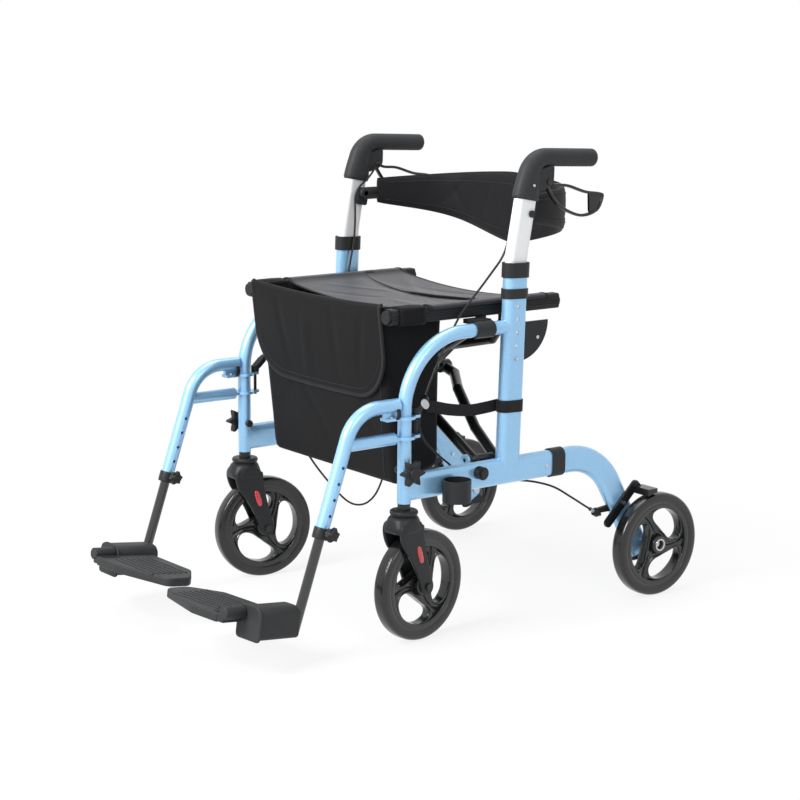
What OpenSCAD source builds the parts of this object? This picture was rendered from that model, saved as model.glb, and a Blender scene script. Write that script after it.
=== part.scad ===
// Rollator transport chair that folds sideways on a crossed brace.
// Millimetres. +Z is up, +Y points to the rear, +X to the sitter's left.
// The origin is on the floor, under the middle of the chair.
// Left-hand pieces are modelled; right-hand ones are their mirror image.

/* [Side frame] */
// Distance from the middle of the chair to the centre plane of a side frame
frame_x = 260; // [250:1:275]
// Place of the front post along the chair
front_post_y = -157; // [-165:1:-150]
// Height of the front post's lower end
post_foot_z = 258; // [252:1:262]
// Outside diameter of the round frame tube
tube_d = 25; // [22:0.5:28]
// Bend radius where the front post turns into the top tube
bend_r = 130; // [110:1:135]
// Height of the top tube's centre line
top_tube_z = 553; // [545:1:556]
// Height of the lower beam's centre line
beam_z = 286; // [283:1:290]
// Tall side of the flat-oval beam, post and leg
oval_h = 50; // [44:1:54]
// Narrow side of the flat-oval beam and leg
oval_w = 25; // [22:0.5:27]
// Narrow side of the flat-oval rear post
post_w = 26; // [24:0.5:28]
// Wall of the rear post and of the handle tube
wall = 2; // [1.5:0.1:2.5]
// Place of the rear post where it leaves the beam
rear_post_y = 80; // [76:1:86]
// Rearward lean of the rear post, degrees
rear_post_lean = 2; // [0:0.5:4]
// Length of the rear post above the beam's centre line
rear_post_l = 364; // [350:1:370]

/* [Rear leg] */
// Place of the joint between beam and rear leg
joint_y = 196; // [185:1:205]
// Place where the rear leg starts to bend down
leg_bend_y = 233; // [228:1:238]
// Bend radius of the rear leg's centre line
leg_bend_r = 120; // [110:1:130]
// Slope of the rear leg below its bend, degrees
leg_slope = 60; // [56:1:62]
// Height of the rear leg's lower end
leg_end_z = 81; // [70:1:84]

/* [Wheels] */
// Outside diameter of all four tyres
wheel_d = 203; // [195:1:206]
// Width of a tyre
tyre_w = 30; // [24:1:32]
// Radial thickness of a tyre
tyre_t = 18; // [14:1:22]
// Diameter of a wheel's hub
hub_d = 36; // [30:1:40]
// Width of one curved spoke
spoke_w = 17; // [12:1:20]
// Distance from the middle of the chair to the rear wheels
rear_wheel_x = 302; // [300:1:310]
// Place of the rear axle along the chair
rear_axle_y = 423; // [418:1:426]
// Diameter of the rear axle
rear_axle_d = 10; // [8:0.5:12]
// Distance of a front wheel behind its swivel
caster_trail = 38; // [34:1:42]
// Turn of the front wheels as they stand, degrees
caster_yaw = 8; // [0:1:12]
// Diameter of the swivel stem
stem_d = 16; // [12:0.5:17]
// Diameter of the front axle
front_axle_d = 8; // [6:0.5:10]
// Thickness of a fork leg
fork_t = 8; // [6:0.5:9]

/* [Handles] */
// Height travel of the handles
handle_lift = 100; // [60:5:110]
// Number of height holes in a rear post
hole_count = 5; // [3:1:5]
// Spacing of the height holes
hole_pitch = 24; // [18:1:25]
// Diameter of a height hole
hole_d = 8; // [6:0.5:9]
// Lean of the handle tube above its kink, degrees
handle_lean = 10.5; // [8:0.5:12]
// Diameter of the hand grip
grip_d = 33; // [30:0.5:35]
// Length of the straight part of the grip
grip_l = 120; // [110:1:140]

/* [Seat and brace] */
// Height of the seat rails' centre line
seat_z = 585; // [583:1:588]
// Distance from the middle of the chair to a seat rail
rail_x = 220; // [214:1:222]
// Width of a seat rail
rail_w = 24; // [20:1:26]
// Height of a seat rail
rail_h = 28; // [24:1:28]
// Length of a seat rail
rail_l = 390; // [360:1:400]
// Diameter of the cross bars
bar_d = 20; // [16:0.5:21]
// Distance from the middle of the chair to the brace's lower pivot
pivot_x = 236; // [232:1:238]
// Height of the brace's lower pivot
pivot_z = 310; // [306:1:314]
// Diameter of the bolt where the cross bars meet
cross_bolt_d = 10; // [8:0.5:12]
// Length of the seat cloth, front to rear
cloth_l = 272; // [240:1:280]
// Sag of the seat cloth in the middle
cloth_sag = 14; // [6:1:24]

/* [Leg rests] */
// Height of the leg rest's upper tube
hanger_z = 436; // [432:1:442]
// Bend radius of the leg rest tube
hanger_r = 70; // [60:1:76]
// Forward lean of the leg rest's straight tube, degrees
hanger_lean = 19; // [16:0.5:21]
// Diameter of the sliding leg rest tube
rest_d = 18; // [17:0.5:21]
// Height of the hanger tube's lower end
hanger_end_z = 222; // [215:1:230]
// Height of the sliding tube's lower end
rest_foot_z = 60; // [56:1:64]
// Height travel of the footplates
rest_travel = 110; // [80:5:115]
// Width of a footplate, front to rear
plate_w = 124; // [110:1:130]
// Length of a footplate, from hinge to tip
plate_l = 208; // [180:1:212]
// Thickness of a footplate
plate_t = 16; // [12:1:18]
// Forward turn of the left footplate, degrees
left_plate_yaw = 6; // [0:1:8]
// Forward turn of the right footplate, degrees
right_plate_yaw = -2; // [-3:1:8]
// Upward tilt of the footplates towards their front, degrees
plate_tilt = 8; // [0:1:12]

/* [Bag, back strap and cup] */
// Width of the bag under the seat rails
bag_w = 400; // [360:2:440]
// Gap between the bag's mouth and each seat rail
bag_gap = 8; // [4:1:20]
// Depth of the bag
bag_depth = 141; // [110:1:148]
// Height of the bag
bag_h = 326; // [270:2:340]
// Rise of the bag's floor towards the rear
bag_tuck = 28; // [0:1:50]
// Height of the flap on the bag's front
flap_h = 166; // [120:2:190]
// Radius of the flap's lower corners
flap_r = 84; // [20:1:100]
// Rearward bow of the back strap
strap_bow = 155; // [120:1:165]
// Height of the back strap in the middle
strap_h = 135; // [100:1:145]
// Inside diameter of the cane cup
cup_bore_d = 47; // [40:1:52]
// Depth inside the cane cup
cup_depth = 36; // [28:1:40]

/* [Hidden] */
$fn = 48;

// Paints and finishes
blue = "#86b8e6";
white = "#e9ebee";
black = "#2a2a2d";
tyre_black = "#1f1f22";
steel = "#b9bcc0";
cloth_black = "#26262a";

// Clearances: a running fit in radius, the gap between moving pieces, a loose seat
run_gap = 0.05;
move_gap = 0.3;
seat_gap = 0.1;

// A tube is this much fatter in its bends and knots, and its straight runs reach this far into a bend
bend_swell = 0.3;
bend_lap = 3;

// Frame places that follow from the sizes above
bend_z = top_tube_z - bend_r;
bend_y = front_post_y + bend_r;
post_dir = [0, sin(rear_post_lean), cos(rear_post_lean)];
post_base = [frame_x, rear_post_y, beam_z];
post_out_x = frame_x + post_w / 2;
beam_out_x = frame_x + oval_w / 2;
handle_h = oval_h - 2 * wall - 2 * seat_gap;
handle_w = post_w - 2 * wall - 2 * seat_gap;
cavity_start = 60;

// Rear leg places
leg_arc_end = [leg_bend_y + leg_bend_r * sin(leg_slope), beam_z - leg_bend_r * (1 - cos(leg_slope))];
leg_straight = (leg_arc_end[1] - leg_end_z) / sin(leg_slope);
leg_foot_y = leg_arc_end[0] + leg_straight * cos(leg_slope);
leg_lap_from = [frame_x, leg_arc_end[0] - bend_lap * cos(leg_slope),
    leg_arc_end[1] + bend_lap * sin(leg_slope)];
wheel_r = wheel_d / 2;

// Star knob above the stem, and how deep the stem sits in the post
stem_depth = 42;
star_z = post_foot_z + 58;
star_screw_d = 8;

// Handle: straight inside the post, a kink above the collar, then a straight run to the grip
collar_h = 27;
collar_over = 19;
kink_rise = 22;
kink_s = rear_post_l + kink_rise;
kink_r = 120;
kink_from = post_base + post_dir * kink_s;
kink_mid = [kink_from[1] + kink_r * cos(rear_post_lean), kink_from[2] - kink_r * sin(rear_post_lean)];
kink_to = [kink_mid[0] - kink_r * cos(handle_lean), kink_mid[1] + kink_r * sin(handle_lean)];
handle_run = 124;
handle_hold = 114;
handle_foot_s = rear_post_l - handle_lift - handle_hold;
socket_run = [92, 137];
grip_bend_r = 38;
grip_droop = 2.5;
socket_end = [kink_to[0] + socket_run[1] * sin(handle_lean), kink_to[1] + socket_run[1] * cos(handle_lean)];
grip_mid = [
    socket_end[0] + grip_bend_r * cos(handle_lean),
    socket_end[1] - grip_bend_r * sin(handle_lean)
];
grip_from = [grip_mid[0] + grip_bend_r * sin(grip_droop), grip_mid[1] + grip_bend_r * cos(grip_droop)];
lever_pivot = [grip_mid[0] + 2, grip_mid[1] - 6];
lever_pin_d = 6;
lever_t = 9;

// Lowest height hole, where the button sits
button_s = 208;

// Back strap hinge on the handle tube
strap_s = 67;
strap_pivot = [kink_to[0] + strap_s * sin(handle_lean) + 11, kink_to[1] + strap_s * cos(handle_lean)];
strap_pin_d = 10;
bracket_in_x = frame_x - handle_w / 2 - 9;
arm_t = 7;

// Brace: the scissor pivot is where the straight bars cross in the middle
rail_under = seat_z - rail_h / 2;
bar_top_z = rail_under - bar_d / 2 - 5;
scissor_z = pivot_z + (bar_top_z - pivot_z) * pivot_x / (pivot_x + rail_x);
straight_y = [20, 46];
curved_y = [136, 100];
boss_l = bar_d + 1;
curved_foot_y = 70;
trunnion_d = 8;
ear_t = 5;
ear_y = [straight_y[0] - bar_d / 2 - 6, curved_foot_y + bar_d / 2 + 6];

// Seat rails
rail_rear_y = 225;
rail_front_y = rail_rear_y - rail_l;

// Leg rest places
hanger_bend_y = front_post_y - 58;
hanger_dir = [0, -sin(hanger_lean), -cos(hanger_lean)];
hanger_end = [
    frame_x,
    hanger_bend_y - hanger_r * cos(hanger_lean),
    hanger_z - hanger_r + hanger_r * sin(hanger_lean)
];
function hanger_at(z) = hanger_end + hanger_dir * ((hanger_end[2] - z) / cos(hanger_lean));
ring_z = [hanger_z - 23, hanger_z - 59];
ring_t = 5;
ring_w = 7;
release_pin_d = 6;
rest_screw_d = 6;
lever_pin_y = front_post_y + tube_d / 2 + ring_w + release_pin_d;
rest_foot = hanger_at(rest_foot_z);
knob_at = hanger_at(hanger_end_z + 12);

// Footplate hinge, measured from the foot of the sliding tube
hinge_dx = -rest_d / 2 - 25;
hinge_z = rest_foot_z + 38;
hinge_pin_d = 8;
block_y = [-82, 10];
block_r = 13.5;
plate_top_z = hinge_z - 2;
plate_mid_y = -66;

// Rear brake arm, in the plane of the rear wheel
brake_pivot = [leg_arc_end[0] + 0.27 * leg_straight * cos(leg_slope),
    leg_arc_end[1] - 0.27 * leg_straight * sin(leg_slope)];
brake_pin_d = 8;
barrel_d = 8;
barrel_l = 30;
barrel_from = [290.4, 180.8];
barrel_dir = [cos(30), -sin(30)];
arm_x = beam_out_x + 1;
arm_bar_t = 5;
shoe_gap = 3.5;
shoe_angle = 100;
shoe_r = wheel_r + shoe_gap;
shoe_at = [rear_axle_y + shoe_r * cos(shoe_angle), wheel_r + shoe_r * sin(shoe_angle)];
arm_top = [brake_pivot[0] + 32, brake_pivot[1] + 31];
arm_foot = [brake_pivot[0] - 36, brake_pivot[1] - 35];

// Bag
bag_top_z = seat_z + 11;
cloth_rear_y = 193;
cloth_front_y = cloth_rear_y - cloth_l;
cloth_t = 4;
cloth_edge_z = seat_z + 9;
bag_rear_z = cloth_edge_z - cloth_t - cloth_sag - 5;
bag_front_y = -166;
bag_wall = 3;
bag_lean = 37;
bag_neck_w = 2 * (rail_x - rail_w / 2 - bag_gap);
bag_neck_z = rail_under - bag_gap;
flap_t = 4;

// Cane cup
cup_wall = 2.5;
cup_y = -69;
cup_top_z = beam_z + 10;
cup_x = beam_out_x + 1 + cup_wall + cup_bore_d / 2;

// Brake cables: places chosen by hand, left side from the lever to the brake
cable_d = 4;
left_route = [
    [248.5, 150, 806], [245, 149, 805], [242.2, 140, 795], [242.2, 126, 781], [242.2, 111, 770],
    [242.2, 101, 757], [242.2, 97, 742], [242.2, 92, 716], [242.2, 84, 692], [241, 73, 672], [239, 54, 650],
    [239, 30, 626],
    [240, -12, 586], [240, -34, 556], [240, -62, 510], [240, -92, 450], [239, -108, 396], [239, -98, 362],
    [239, -70, 334], [239, -38, 308], [239, -16, 288], [239, 20, 277], [240, 70, 268], [243, 120, 258],
    [250, 160, 250], [257, 200, 236], [260, 240, 212], [260, 272, 192], [260, 290, 181]
];
right_route = [
    [248.5, 150, 806], [245, 149, 805], [242.2, 140, 795], [242.2, 126, 781], [242.2, 111, 770],
    [242.2, 101, 757], [242.2, 98, 742], [242, 98, 716], [241.4, 97, 690], [241.2, 94, 660], [241, 87, 627],
    [240, 80, 597], [239, 73, 560], [239, 58, 515], [239, 26, 460], [239, -20, 405], [238, -54, 355],
    [230, -58, 296], [216, -26, 230], [204, 20, 168], [200, 56, 134], [200, 90, 126], [204, 120, 138],
    [214, 146, 164], [230, 172, 200], [246, 200, 222], [257, 236, 212], [260, 272, 192], [260, 290, 181]
];

// General shapes

// Flat oval with its long side along X
module stadium(long, short) {
    square([long - short, short], center = true);
    for (s = [-1, 1]) translate([s * (long - short) / 2, 0]) circle(d = short);
}

// Round bar between two points
module rod(p, q, d) {
    v = q - p;
    translate(p)
        rotate([0, acos(v[2] / norm(v)), atan2(v[1], v[0])])
        cylinder(d = d, h = norm(v));
}

// Chain of round bars through a list of points, rounded at every point
module chain(points, d) {
    for (i = [0 : len(points) - 2]) rod(points[i], points[i + 1], d);
    for (p = points) translate(p) sphere(d = d + 2 * bend_swell);
}

// Round bar along X from a point
module bar_x(p, d, l) {
    translate(p) rotate([0, 90, 0]) cylinder(d = d, h = l);
}

// Round bar along Y from a point
module bar_y(p, d, l) {
    translate(p) rotate([-90, 0, 0]) cylinder(d = d, h = l);
}

// Bend in a plane of constant X: a profile swept about a centre, between two angles from +Y
module elbow(x, mid, r, from, to) {
    translate([x, mid[0], mid[1]])
        rotate([90, 0, 90])
        rotate([0, 0, from])
        rotate_extrude(angle = to - from, $fn = 96)
        translate([r, 0])
        children();
}

// Profile pushed from a point in a plane of constant X, leaning back from the vertical
module push(p, lean, l) {
    translate(p) rotate([-lean, 0, 0]) linear_extrude(l) rotate(90) children();
}

// Block with its long edges along X rounded
module soft_block(size, r) {
    rotate([90, 0, 90])
        linear_extrude(size[0])
        soft_rect(size[1], size[2], r);
}

// Rectangle from the origin with rounded corners
module soft_rect(w, h, r) {
    translate([r, 0]) square([w - 2 * r, h]);
    translate([0, r]) square([w, h - 2 * r]);
    for (x = [r, w - r], y = [r, h - r]) translate([x, y]) circle(r = r);
}

// Swept tube along a list of points, as one closed skin with square ends
module cable(points, d, sides) {
    n = len(points);
    tangents = [for (i = [0 : n - 1])
        unit(points[min(i + 1, n - 1)] - points[max(i - 1, 0)])];
    rings = [for (i = [0 : n - 1]) let (a = unit(cross(tangents[i], [1, 0, 0])), b = cross(tangents[i], a))
        for (k = [0 : sides - 1]) points[i] + d / 2 * (cos(360 * k / sides) * a + sin(360 * k / sides) * b)];
    skin = [for (i = [0 : n - 2], k = [0 : sides - 1]) let (j = (k + 1) % sides)
        each [[i * sides + k, (i + 1) * sides + k, i * sides + j],
            [i * sides + j, (i + 1) * sides + k, (i + 1) * sides + j]]];
    start = [for (k = [1 : sides - 2]) [0, k, k + 1]];
    end = [for (k = [1 : sides - 2]) [(n - 1) * sides, (n - 1) * sides + k + 1, (n - 1) * sides + k]];
    polyhedron(rings, concat(skin, start, end));
}

function unit(v) = v / norm(v);

// Right-hand copy of a left-hand piece
module mirrored() {
    mirror([1, 0, 0]) children();
}

// Side frame

module side_frame() {
    color(blue)
    difference() {
        union() {
            translate([frame_x, front_post_y, post_foot_z])
                cylinder(d = tube_d, h = bend_z + bend_lap - post_foot_z);
            elbow(frame_x, [bend_y, bend_z], bend_r, 90, 180) circle(d = tube_d + bend_swell);
            bar_y([frame_x, bend_y - bend_lap, top_tube_z], tube_d, rear_post_y - bend_y + bend_lap);
            translate([frame_x, front_post_y, beam_z])
                rotate([-90, 0, 0])
                linear_extrude(joint_y - front_post_y)
                rotate(90)
                stadium(oval_h, oval_w);
            push(post_base, rear_post_lean, rear_post_l) stadium(oval_h, post_w);
            for (y = [ear_y[0] - ear_t, ear_y[1]]) pivot_ear(y);
        }
        translate([frame_x, front_post_y, post_foot_z - 1])
            cylinder(d = stem_d + 2 * run_gap, h = stem_depth + 2);
        push(post_base + post_dir * cavity_start, rear_post_lean, rear_post_l)
            stadium(oval_h - 2 * wall, post_w - 2 * wall);
        for (i = [0 : hole_count - 1]) bar_x(button_place(i * hole_pitch), hole_d, post_w);
        bar_x([frame_x - tube_d, front_post_y, star_z], star_screw_d + 2 * run_gap, 2 * tube_d);
        bar_y([pivot_x, ear_y[0] - 2 * ear_t, pivot_z], trunnion_d + 2 * run_gap,
            ear_y[1] - ear_y[0] + 4 * ear_t);
    }
}

// Centre of the post at a height hole, that far above the lowest one
function button_place(up) = post_base + post_dir * (button_s + up);

// Ear welded to the beam that carries one end of the cross bar's pivot tube
module pivot_ear(y) {
    ear_d = trunnion_d + 14;
    translate([0, y + ear_t, 0]) rotate([90, 0, 0]) linear_extrude(ear_t) {
        translate([pivot_x, pivot_z]) circle(d = ear_d);
        translate([pivot_x, pivot_z - ear_d / 2]) square([frame_x - pivot_x - 3, ear_d / 2 - 1]);
    }
}

module rear_leg() {
    color(blue)
    difference() {
        union() {
            translate([frame_x, joint_y + move_gap, beam_z])
                rotate([-90, 0, 0])
                linear_extrude(leg_bend_y + bend_lap - joint_y - move_gap)
                rotate(90)
                stadium(oval_h, oval_w);
            elbow(frame_x, [leg_bend_y, beam_z - leg_bend_r], leg_bend_r, 90 - leg_slope, 90)
                stadium(oval_h + bend_swell, oval_w + bend_swell);
            push(leg_lap_from, 90 + leg_slope, leg_straight + bend_lap) stadium(oval_h, oval_w);
        }
        bar_x([frame_x - oval_w, rear_axle_y, wheel_r], rear_axle_d + 2 * seat_gap, 2 * oval_w);
        bar_x([frame_x - oval_w, brake_pivot[0], brake_pivot[1]], brake_pin_d + 2 * run_gap, 2 * oval_w);
    }
}

// Black mouldings fixed to the side frame
module frame_fittings(clip) {
    color(black) {
        post_collar();
        if (clip) post_clip();
        rail_saddle();
        leg_collar();
        crescent_plate();
        leg_foot();
        cable_stay();
    }
}

// Collar that caps the rear post and guides the handle tube
module post_collar() {
    down = collar_h - collar_over;
    difference() {
        push(post_base + post_dir * (rear_post_l - down), rear_post_lean, collar_h)
            stadium(oval_h + 6, post_w + 6);
        push(post_base + post_dir * (rear_post_l - down - 1), rear_post_lean, down + 1 + seat_gap)
            stadium(oval_h + 2 * seat_gap, post_w + 2 * seat_gap);
        push(post_base + post_dir * (rear_post_l - 1), rear_post_lean, collar_h)
            stadium(handle_h + 2 * move_gap, handle_w + 2 * move_gap);
    }
}

// Clip band on the post, just above the rear end of the seat rail
module post_clip() {
    clip_s = 318;
    clip_h = 18;
    difference() {
        push(post_base + post_dir * clip_s, rear_post_lean, clip_h) stadium(oval_h + 5, post_w + 5);
        push(post_base + post_dir * (clip_s - 1), rear_post_lean, clip_h + 2)
            stadium(oval_h + 2 * seat_gap, post_w + 2 * seat_gap);
    }
}

// Saddle on the top tube, whose shelf carries the outer edge of the seat rail
module rail_saddle() {
    saddle_l = 42;
    saddle_y = -4;
    shelf_t = 8;
    shelf_top = rail_under - move_gap;
    shelf_from = rail_x + bar_d / 2 + 1;
    difference() {
        union() {
            bar_y([frame_x, saddle_y, top_tube_z], tube_d + 6, saddle_l);
            translate([shelf_from, saddle_y, shelf_top - shelf_t])
                cube([frame_x - shelf_from, saddle_l, shelf_t]);
        }
        bar_y([frame_x, saddle_y - 1, top_tube_z], tube_d + 2 * seat_gap, saddle_l + 2);
    }
}

// Sleeve over the joint between beam and rear leg
module leg_collar() {
    sleeve_l = 30;
    translate([frame_x, joint_y - sleeve_l / 2, beam_z]) rotate([-90, 0, 0])
        linear_extrude(sleeve_l) rotate(90)
        difference() {
            stadium(oval_h + 5, oval_w + 5);
            stadium(oval_h + 2 * seat_gap, oval_w + 2 * seat_gap);
        }
}

// Quarter-round plate screwed to the inner face of the rear post
module crescent_plate() {
    plate_r = 72;
    plate_thick = 4;
    top_z = top_tube_z + 2;
    mid_y = rear_post_y + oval_h / 2 + 8;
    translate([frame_x - post_w / 2 - seat_gap - plate_thick, 0, 0]) rotate([90, 0, 90])
        linear_extrude(plate_thick) {
        intersection() {
            translate([mid_y, top_z]) circle(r = plate_r);
            translate([mid_y, top_z - plate_r]) square([plate_r, plate_r]);
        }
        translate([mid_y - 24, top_z - plate_r]) square([25, plate_r]);
    }
}

// Cap on the leg's lower end, with the tipping pedal behind it
module leg_foot() {
    cap_l = 8;
    pedal_l = 34;
    pedal_h = 11;
    pedal_drop = 3;
    foot = [frame_x, leg_foot_y, leg_end_z];
    push([foot[0], foot[1] + seat_gap * cos(leg_slope), foot[2] - seat_gap * sin(leg_slope)],
        90 + leg_slope, cap_l)
        stadium(oval_h + 2, oval_w + 2);
    translate([frame_x - 8, leg_foot_y, leg_end_z - pedal_h - pedal_drop])
        soft_block([16, pedal_l, pedal_h], 3);
}

// Stay under the leg, with the ring that holds the cable's barrel adjuster
module cable_stay() {
    stay_t = 6;
    ring_d = barrel_d + 8;
    ring_l = 9;
    ring_from = 13;
    low = brake_pivot - (oval_h / 2 + seat_gap) * [sin(leg_slope), cos(leg_slope)];
    ring_at = barrel_from + ring_from * barrel_dir;
    difference() {
        union() {
            translate([frame_x - stay_t / 2, 0, 0]) rotate([90, 0, 90]) linear_extrude(stay_t)
                polygon([low + 9 * [-cos(leg_slope), sin(leg_slope)],
                    low - 5 * [-cos(leg_slope), sin(leg_slope)],
                    ring_at + [4, -4], ring_at + [1, 5]]);
            barrel_rod(ring_from, ring_l, ring_d);
        }
        barrel_rod(-5, 2 * barrel_l, barrel_d + 2 * seat_gap);
    }
}

// Round bar on the axis of the barrel adjuster, from a distance along it
module barrel_rod(from, l, d) {
    p = barrel_from + from * barrel_dir;
    q = p + l * barrel_dir;
    rod([frame_x, p[0], p[1]], [frame_x, q[0], q[1]], d);
}

// Handles

module handle_post() {
    color(white)
    difference() {
        handle_bar(handle_h, handle_w, 0);
        handle_bar(handle_h - 2 * wall, handle_w - 2 * wall, 1);
        bar_x(button_place(0), hole_d + 1, post_w);
    }
}

// Bent handle tube of a given oval, run past its ends by that much
module handle_bar(h, w, past) {
    push(post_base + post_dir * (handle_foot_s - past), rear_post_lean,
        kink_s + bend_lap - handle_foot_s + past)
        stadium(h, w);
    elbow(frame_x, kink_mid, kink_r, 180 - handle_lean, 180 - rear_post_lean)
        stadium(h + bend_swell, w + bend_swell);
    push(handle_at(-bend_lap), handle_lean, handle_run + bend_lap + past) stadium(h, w);
}

// Point on the handle tube above its kink
function handle_at(s) = [frame_x, kink_to[0] + s * sin(handle_lean), kink_to[1] + s * cos(handle_lean)];

module hand_grip() {
    color(black)
    difference() {
        union() {
            push(handle_at(socket_run[0]), handle_lean, socket_run[1] - socket_run[0] + bend_lap)
                stadium(oval_h + 4, grip_d - 2 - bend_swell);
            elbow(frame_x, grip_mid, grip_bend_r, 90 - grip_droop, 180 - handle_lean)
                stadium(grip_d + 9, grip_d - 2);
            translate([frame_x, grip_from[0], grip_from[1]])
                rotate([-90 - grip_droop, 0, 0])
                cylinder(d = grip_d, h = grip_l);
            lever_housing();
        }
        push(handle_at(socket_run[0] - 1), handle_lean, handle_run - socket_run[0] + 1 + seat_gap)
            stadium(handle_h + 2 * seat_gap, handle_w + 2 * seat_gap);
        bar_x([frame_x - grip_d, lever_pivot[0], lever_pivot[1]], lever_pin_d + 2 * run_gap, 2 * grip_d);
        lever_slot();
    }
}

// Cheeks under the grip's bend that hold the brake lever
module lever_housing() {
    cheek_w = lever_t + 2 * move_gap + 10;
    translate([frame_x - cheek_w / 2, 0, 0]) rotate([90, 0, 90]) linear_extrude(cheek_w) {
        translate(lever_pivot) circle(d = 22);
        polygon([[grip_mid[0] - 34, grip_mid[1] - 22], [lever_pivot[0], lever_pivot[1] - 11],
            [lever_pivot[0] + 11, lever_pivot[1]], [grip_mid[0] + 14, grip_mid[1] + 24],
            [grip_mid[0] - 30, grip_mid[1] + 10]]);
    }
}

// Room between the cheeks for the lever and its swing
module lever_slot() {
    slot_w = lever_t + 2 * move_gap;
    translate([frame_x - slot_w / 2, 0, 0]) rotate([90, 0, 90]) linear_extrude(slot_w) {
        translate(lever_pivot) circle(d = 21);
        translate(lever_pivot + [0, -16]) square([40, 30]);
    }
}

module brake_lever() {
    p = lever_pivot;
    loop = [[4, 0], [22, -7], [54, -10], [97, -23], [136, -30], [138, -38],
        [124, -58], [88, -66], [44, -51], [20, -32], [2, -6]];
    color(black) {
        difference() {
            union() {
                bar_x([frame_x - lever_t / 2, p[0], p[1]], 18, lever_t);
                chain([for (q = loop) [frame_x, p[0] + q[0], p[1] + q[1]]], 8);
                translate([frame_x - 2, 0, 0]) rotate([90, 0, 90]) linear_extrude(4)
                    polygon([p + [106, -27], p + [134, -30], p + [138, -38], p + [124, -58], p + [108, -62]]);
            }
            bar_x([frame_x - grip_d, p[0], p[1]], lever_pin_d + 2 * run_gap, 2 * grip_d);
        }
        bar_x([frame_x - grip_d / 2, p[0], p[1]], lever_pin_d, grip_d);
    }
}

module left_brake_cable() {
    color(black) cable(left_route, cable_d, 8);
}

module right_brake_cable() {
    color(black) mirrored() cable(right_route, cable_d, 8);
}

module height_button() {
    stand = 3;
    p = button_place(0);
    color(steel) {
        bar_x([post_out_x - wall + move_gap, p[1], p[2]], hole_d - 2 * run_gap, wall + stand - 1 - move_gap);
        bar_x([post_out_x + stand - 1, p[1], p[2]], hole_d - 2, 1);
    }
}

// Tongue on the inner face of the handle tube, with the strap's pin, and the bolt head on the outer face
module back_bracket() {
    tongue_w = 22;
    tongue_h = 24;
    head_d = 13;
    head_t = 4;
    in_face_x = frame_x - handle_w / 2 - seat_gap;
    color(black) {
        translate([bracket_in_x, 0, 0]) rotate([90, 0, 90]) linear_extrude(in_face_x - bracket_in_x)
            translate(strap_pivot) rotate(-handle_lean) {
                circle(d = tongue_w);
                translate([-tongue_w / 2, -tongue_h]) soft_rect(tongue_w, tongue_h, 5);
            }
        bar_x([bracket_in_x - arm_t - move_gap, strap_pivot[0], strap_pivot[1]], strap_pin_d, arm_t + 1);
        bar_x([frame_x + handle_w / 2 + seat_gap, strap_pivot[0], strap_pivot[1]], head_d, head_t);
    }
}

// Front casters

// Puts a caster, modelled with its stem on the Z axis, under the front post
module caster_place() {
    translate([frame_x, front_post_y, 0]) rotate([0, 0, caster_yaw]) children();
}

fork_in = tyre_w / 2 + 2.5;
crown_z = wheel_d + 5;
crown_h = 28;
cup_z = crown_z + crown_h;

module caster_fork() {
    crown_r = fork_in + fork_t + 2;
    color(black)
    caster_place() difference() {
        union() {
            translate([0, 0, crown_z]) cylinder(r = crown_r, h = crown_h);
            translate([0, 0, cup_z]) cylinder(r = crown_r - 5, h = 4);
            translate([0, 0, cup_z + 4]) cylinder(r = crown_r - 2, h = 6);
            for (s = [-1, 1]) translate([s * (fork_in + fork_t / 2) - fork_t / 2, 0, 0]) hull() {
                bar_x([0, 5, crown_z + 8], 38, fork_t, $fn = 32);
                bar_x([0, caster_trail, wheel_r], 25, fork_t, $fn = 32);
            }
        }
        translate([0, 0, crown_z - 1]) cylinder(d = stem_d + 2 * run_gap, h = crown_h + 20);
        bar_x([-2 * tyre_w, caster_trail, wheel_r], front_axle_d + 2 * run_gap, 4 * tyre_w);
    }
}

// Swivel stem with its bearing washer, and the front axle with its two bolt heads
module caster_axle() {
    head_t = 4;
    half = fork_in + fork_t + seat_gap;
    stem_from = crown_z + 2;
    washer_z = cup_z + 10 + seat_gap;
    color(steel)
    caster_place() {
        translate([0, 0, stem_from]) cylinder(d = stem_d, h = post_foot_z + stem_depth - stem_from);
        translate([0, 0, washer_z]) cylinder(d = stem_d + 7, h = post_foot_z - move_gap - washer_z);
        bar_x([-half, caster_trail, wheel_r], front_axle_d, 2 * half);
        for (s = [-1, 1]) bar_x([s * (half + head_t / 2) - head_t / 2, caster_trail, wheel_r], 14, head_t);
    }
}

// Wheel and tyre about the X axis, centred on the origin

rim_r = wheel_r - tyre_t;
rim_in_r = rim_r - 12;

module wheel_body(axle_d) {
    web_t = tyre_w - 10;
    rim_t = tyre_w - 4;
    rotate([0, 90, 0]) difference() {
        union() {
            translate([0, 0, -web_t / 2]) linear_extrude(web_t) difference() {
                circle(r = rim_r - seat_gap, $fn = 96);
                for (i = [0 : 2]) rotate(120 * i) wheel_opening();
            }
            translate([0, 0, -rim_t / 2]) difference() {
                cylinder(r = rim_r - seat_gap, h = rim_t, $fn = 96);
                translate([0, 0, -1]) cylinder(r = rim_r - 7, h = rim_t + 2, $fn = 96);
            }
            cylinder(d = hub_d, h = tyre_w + 3, center = true);
        }
        cylinder(d = axle_d + 2 * run_gap, h = 2 * tyre_w, center = true);
    }
}

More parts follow.
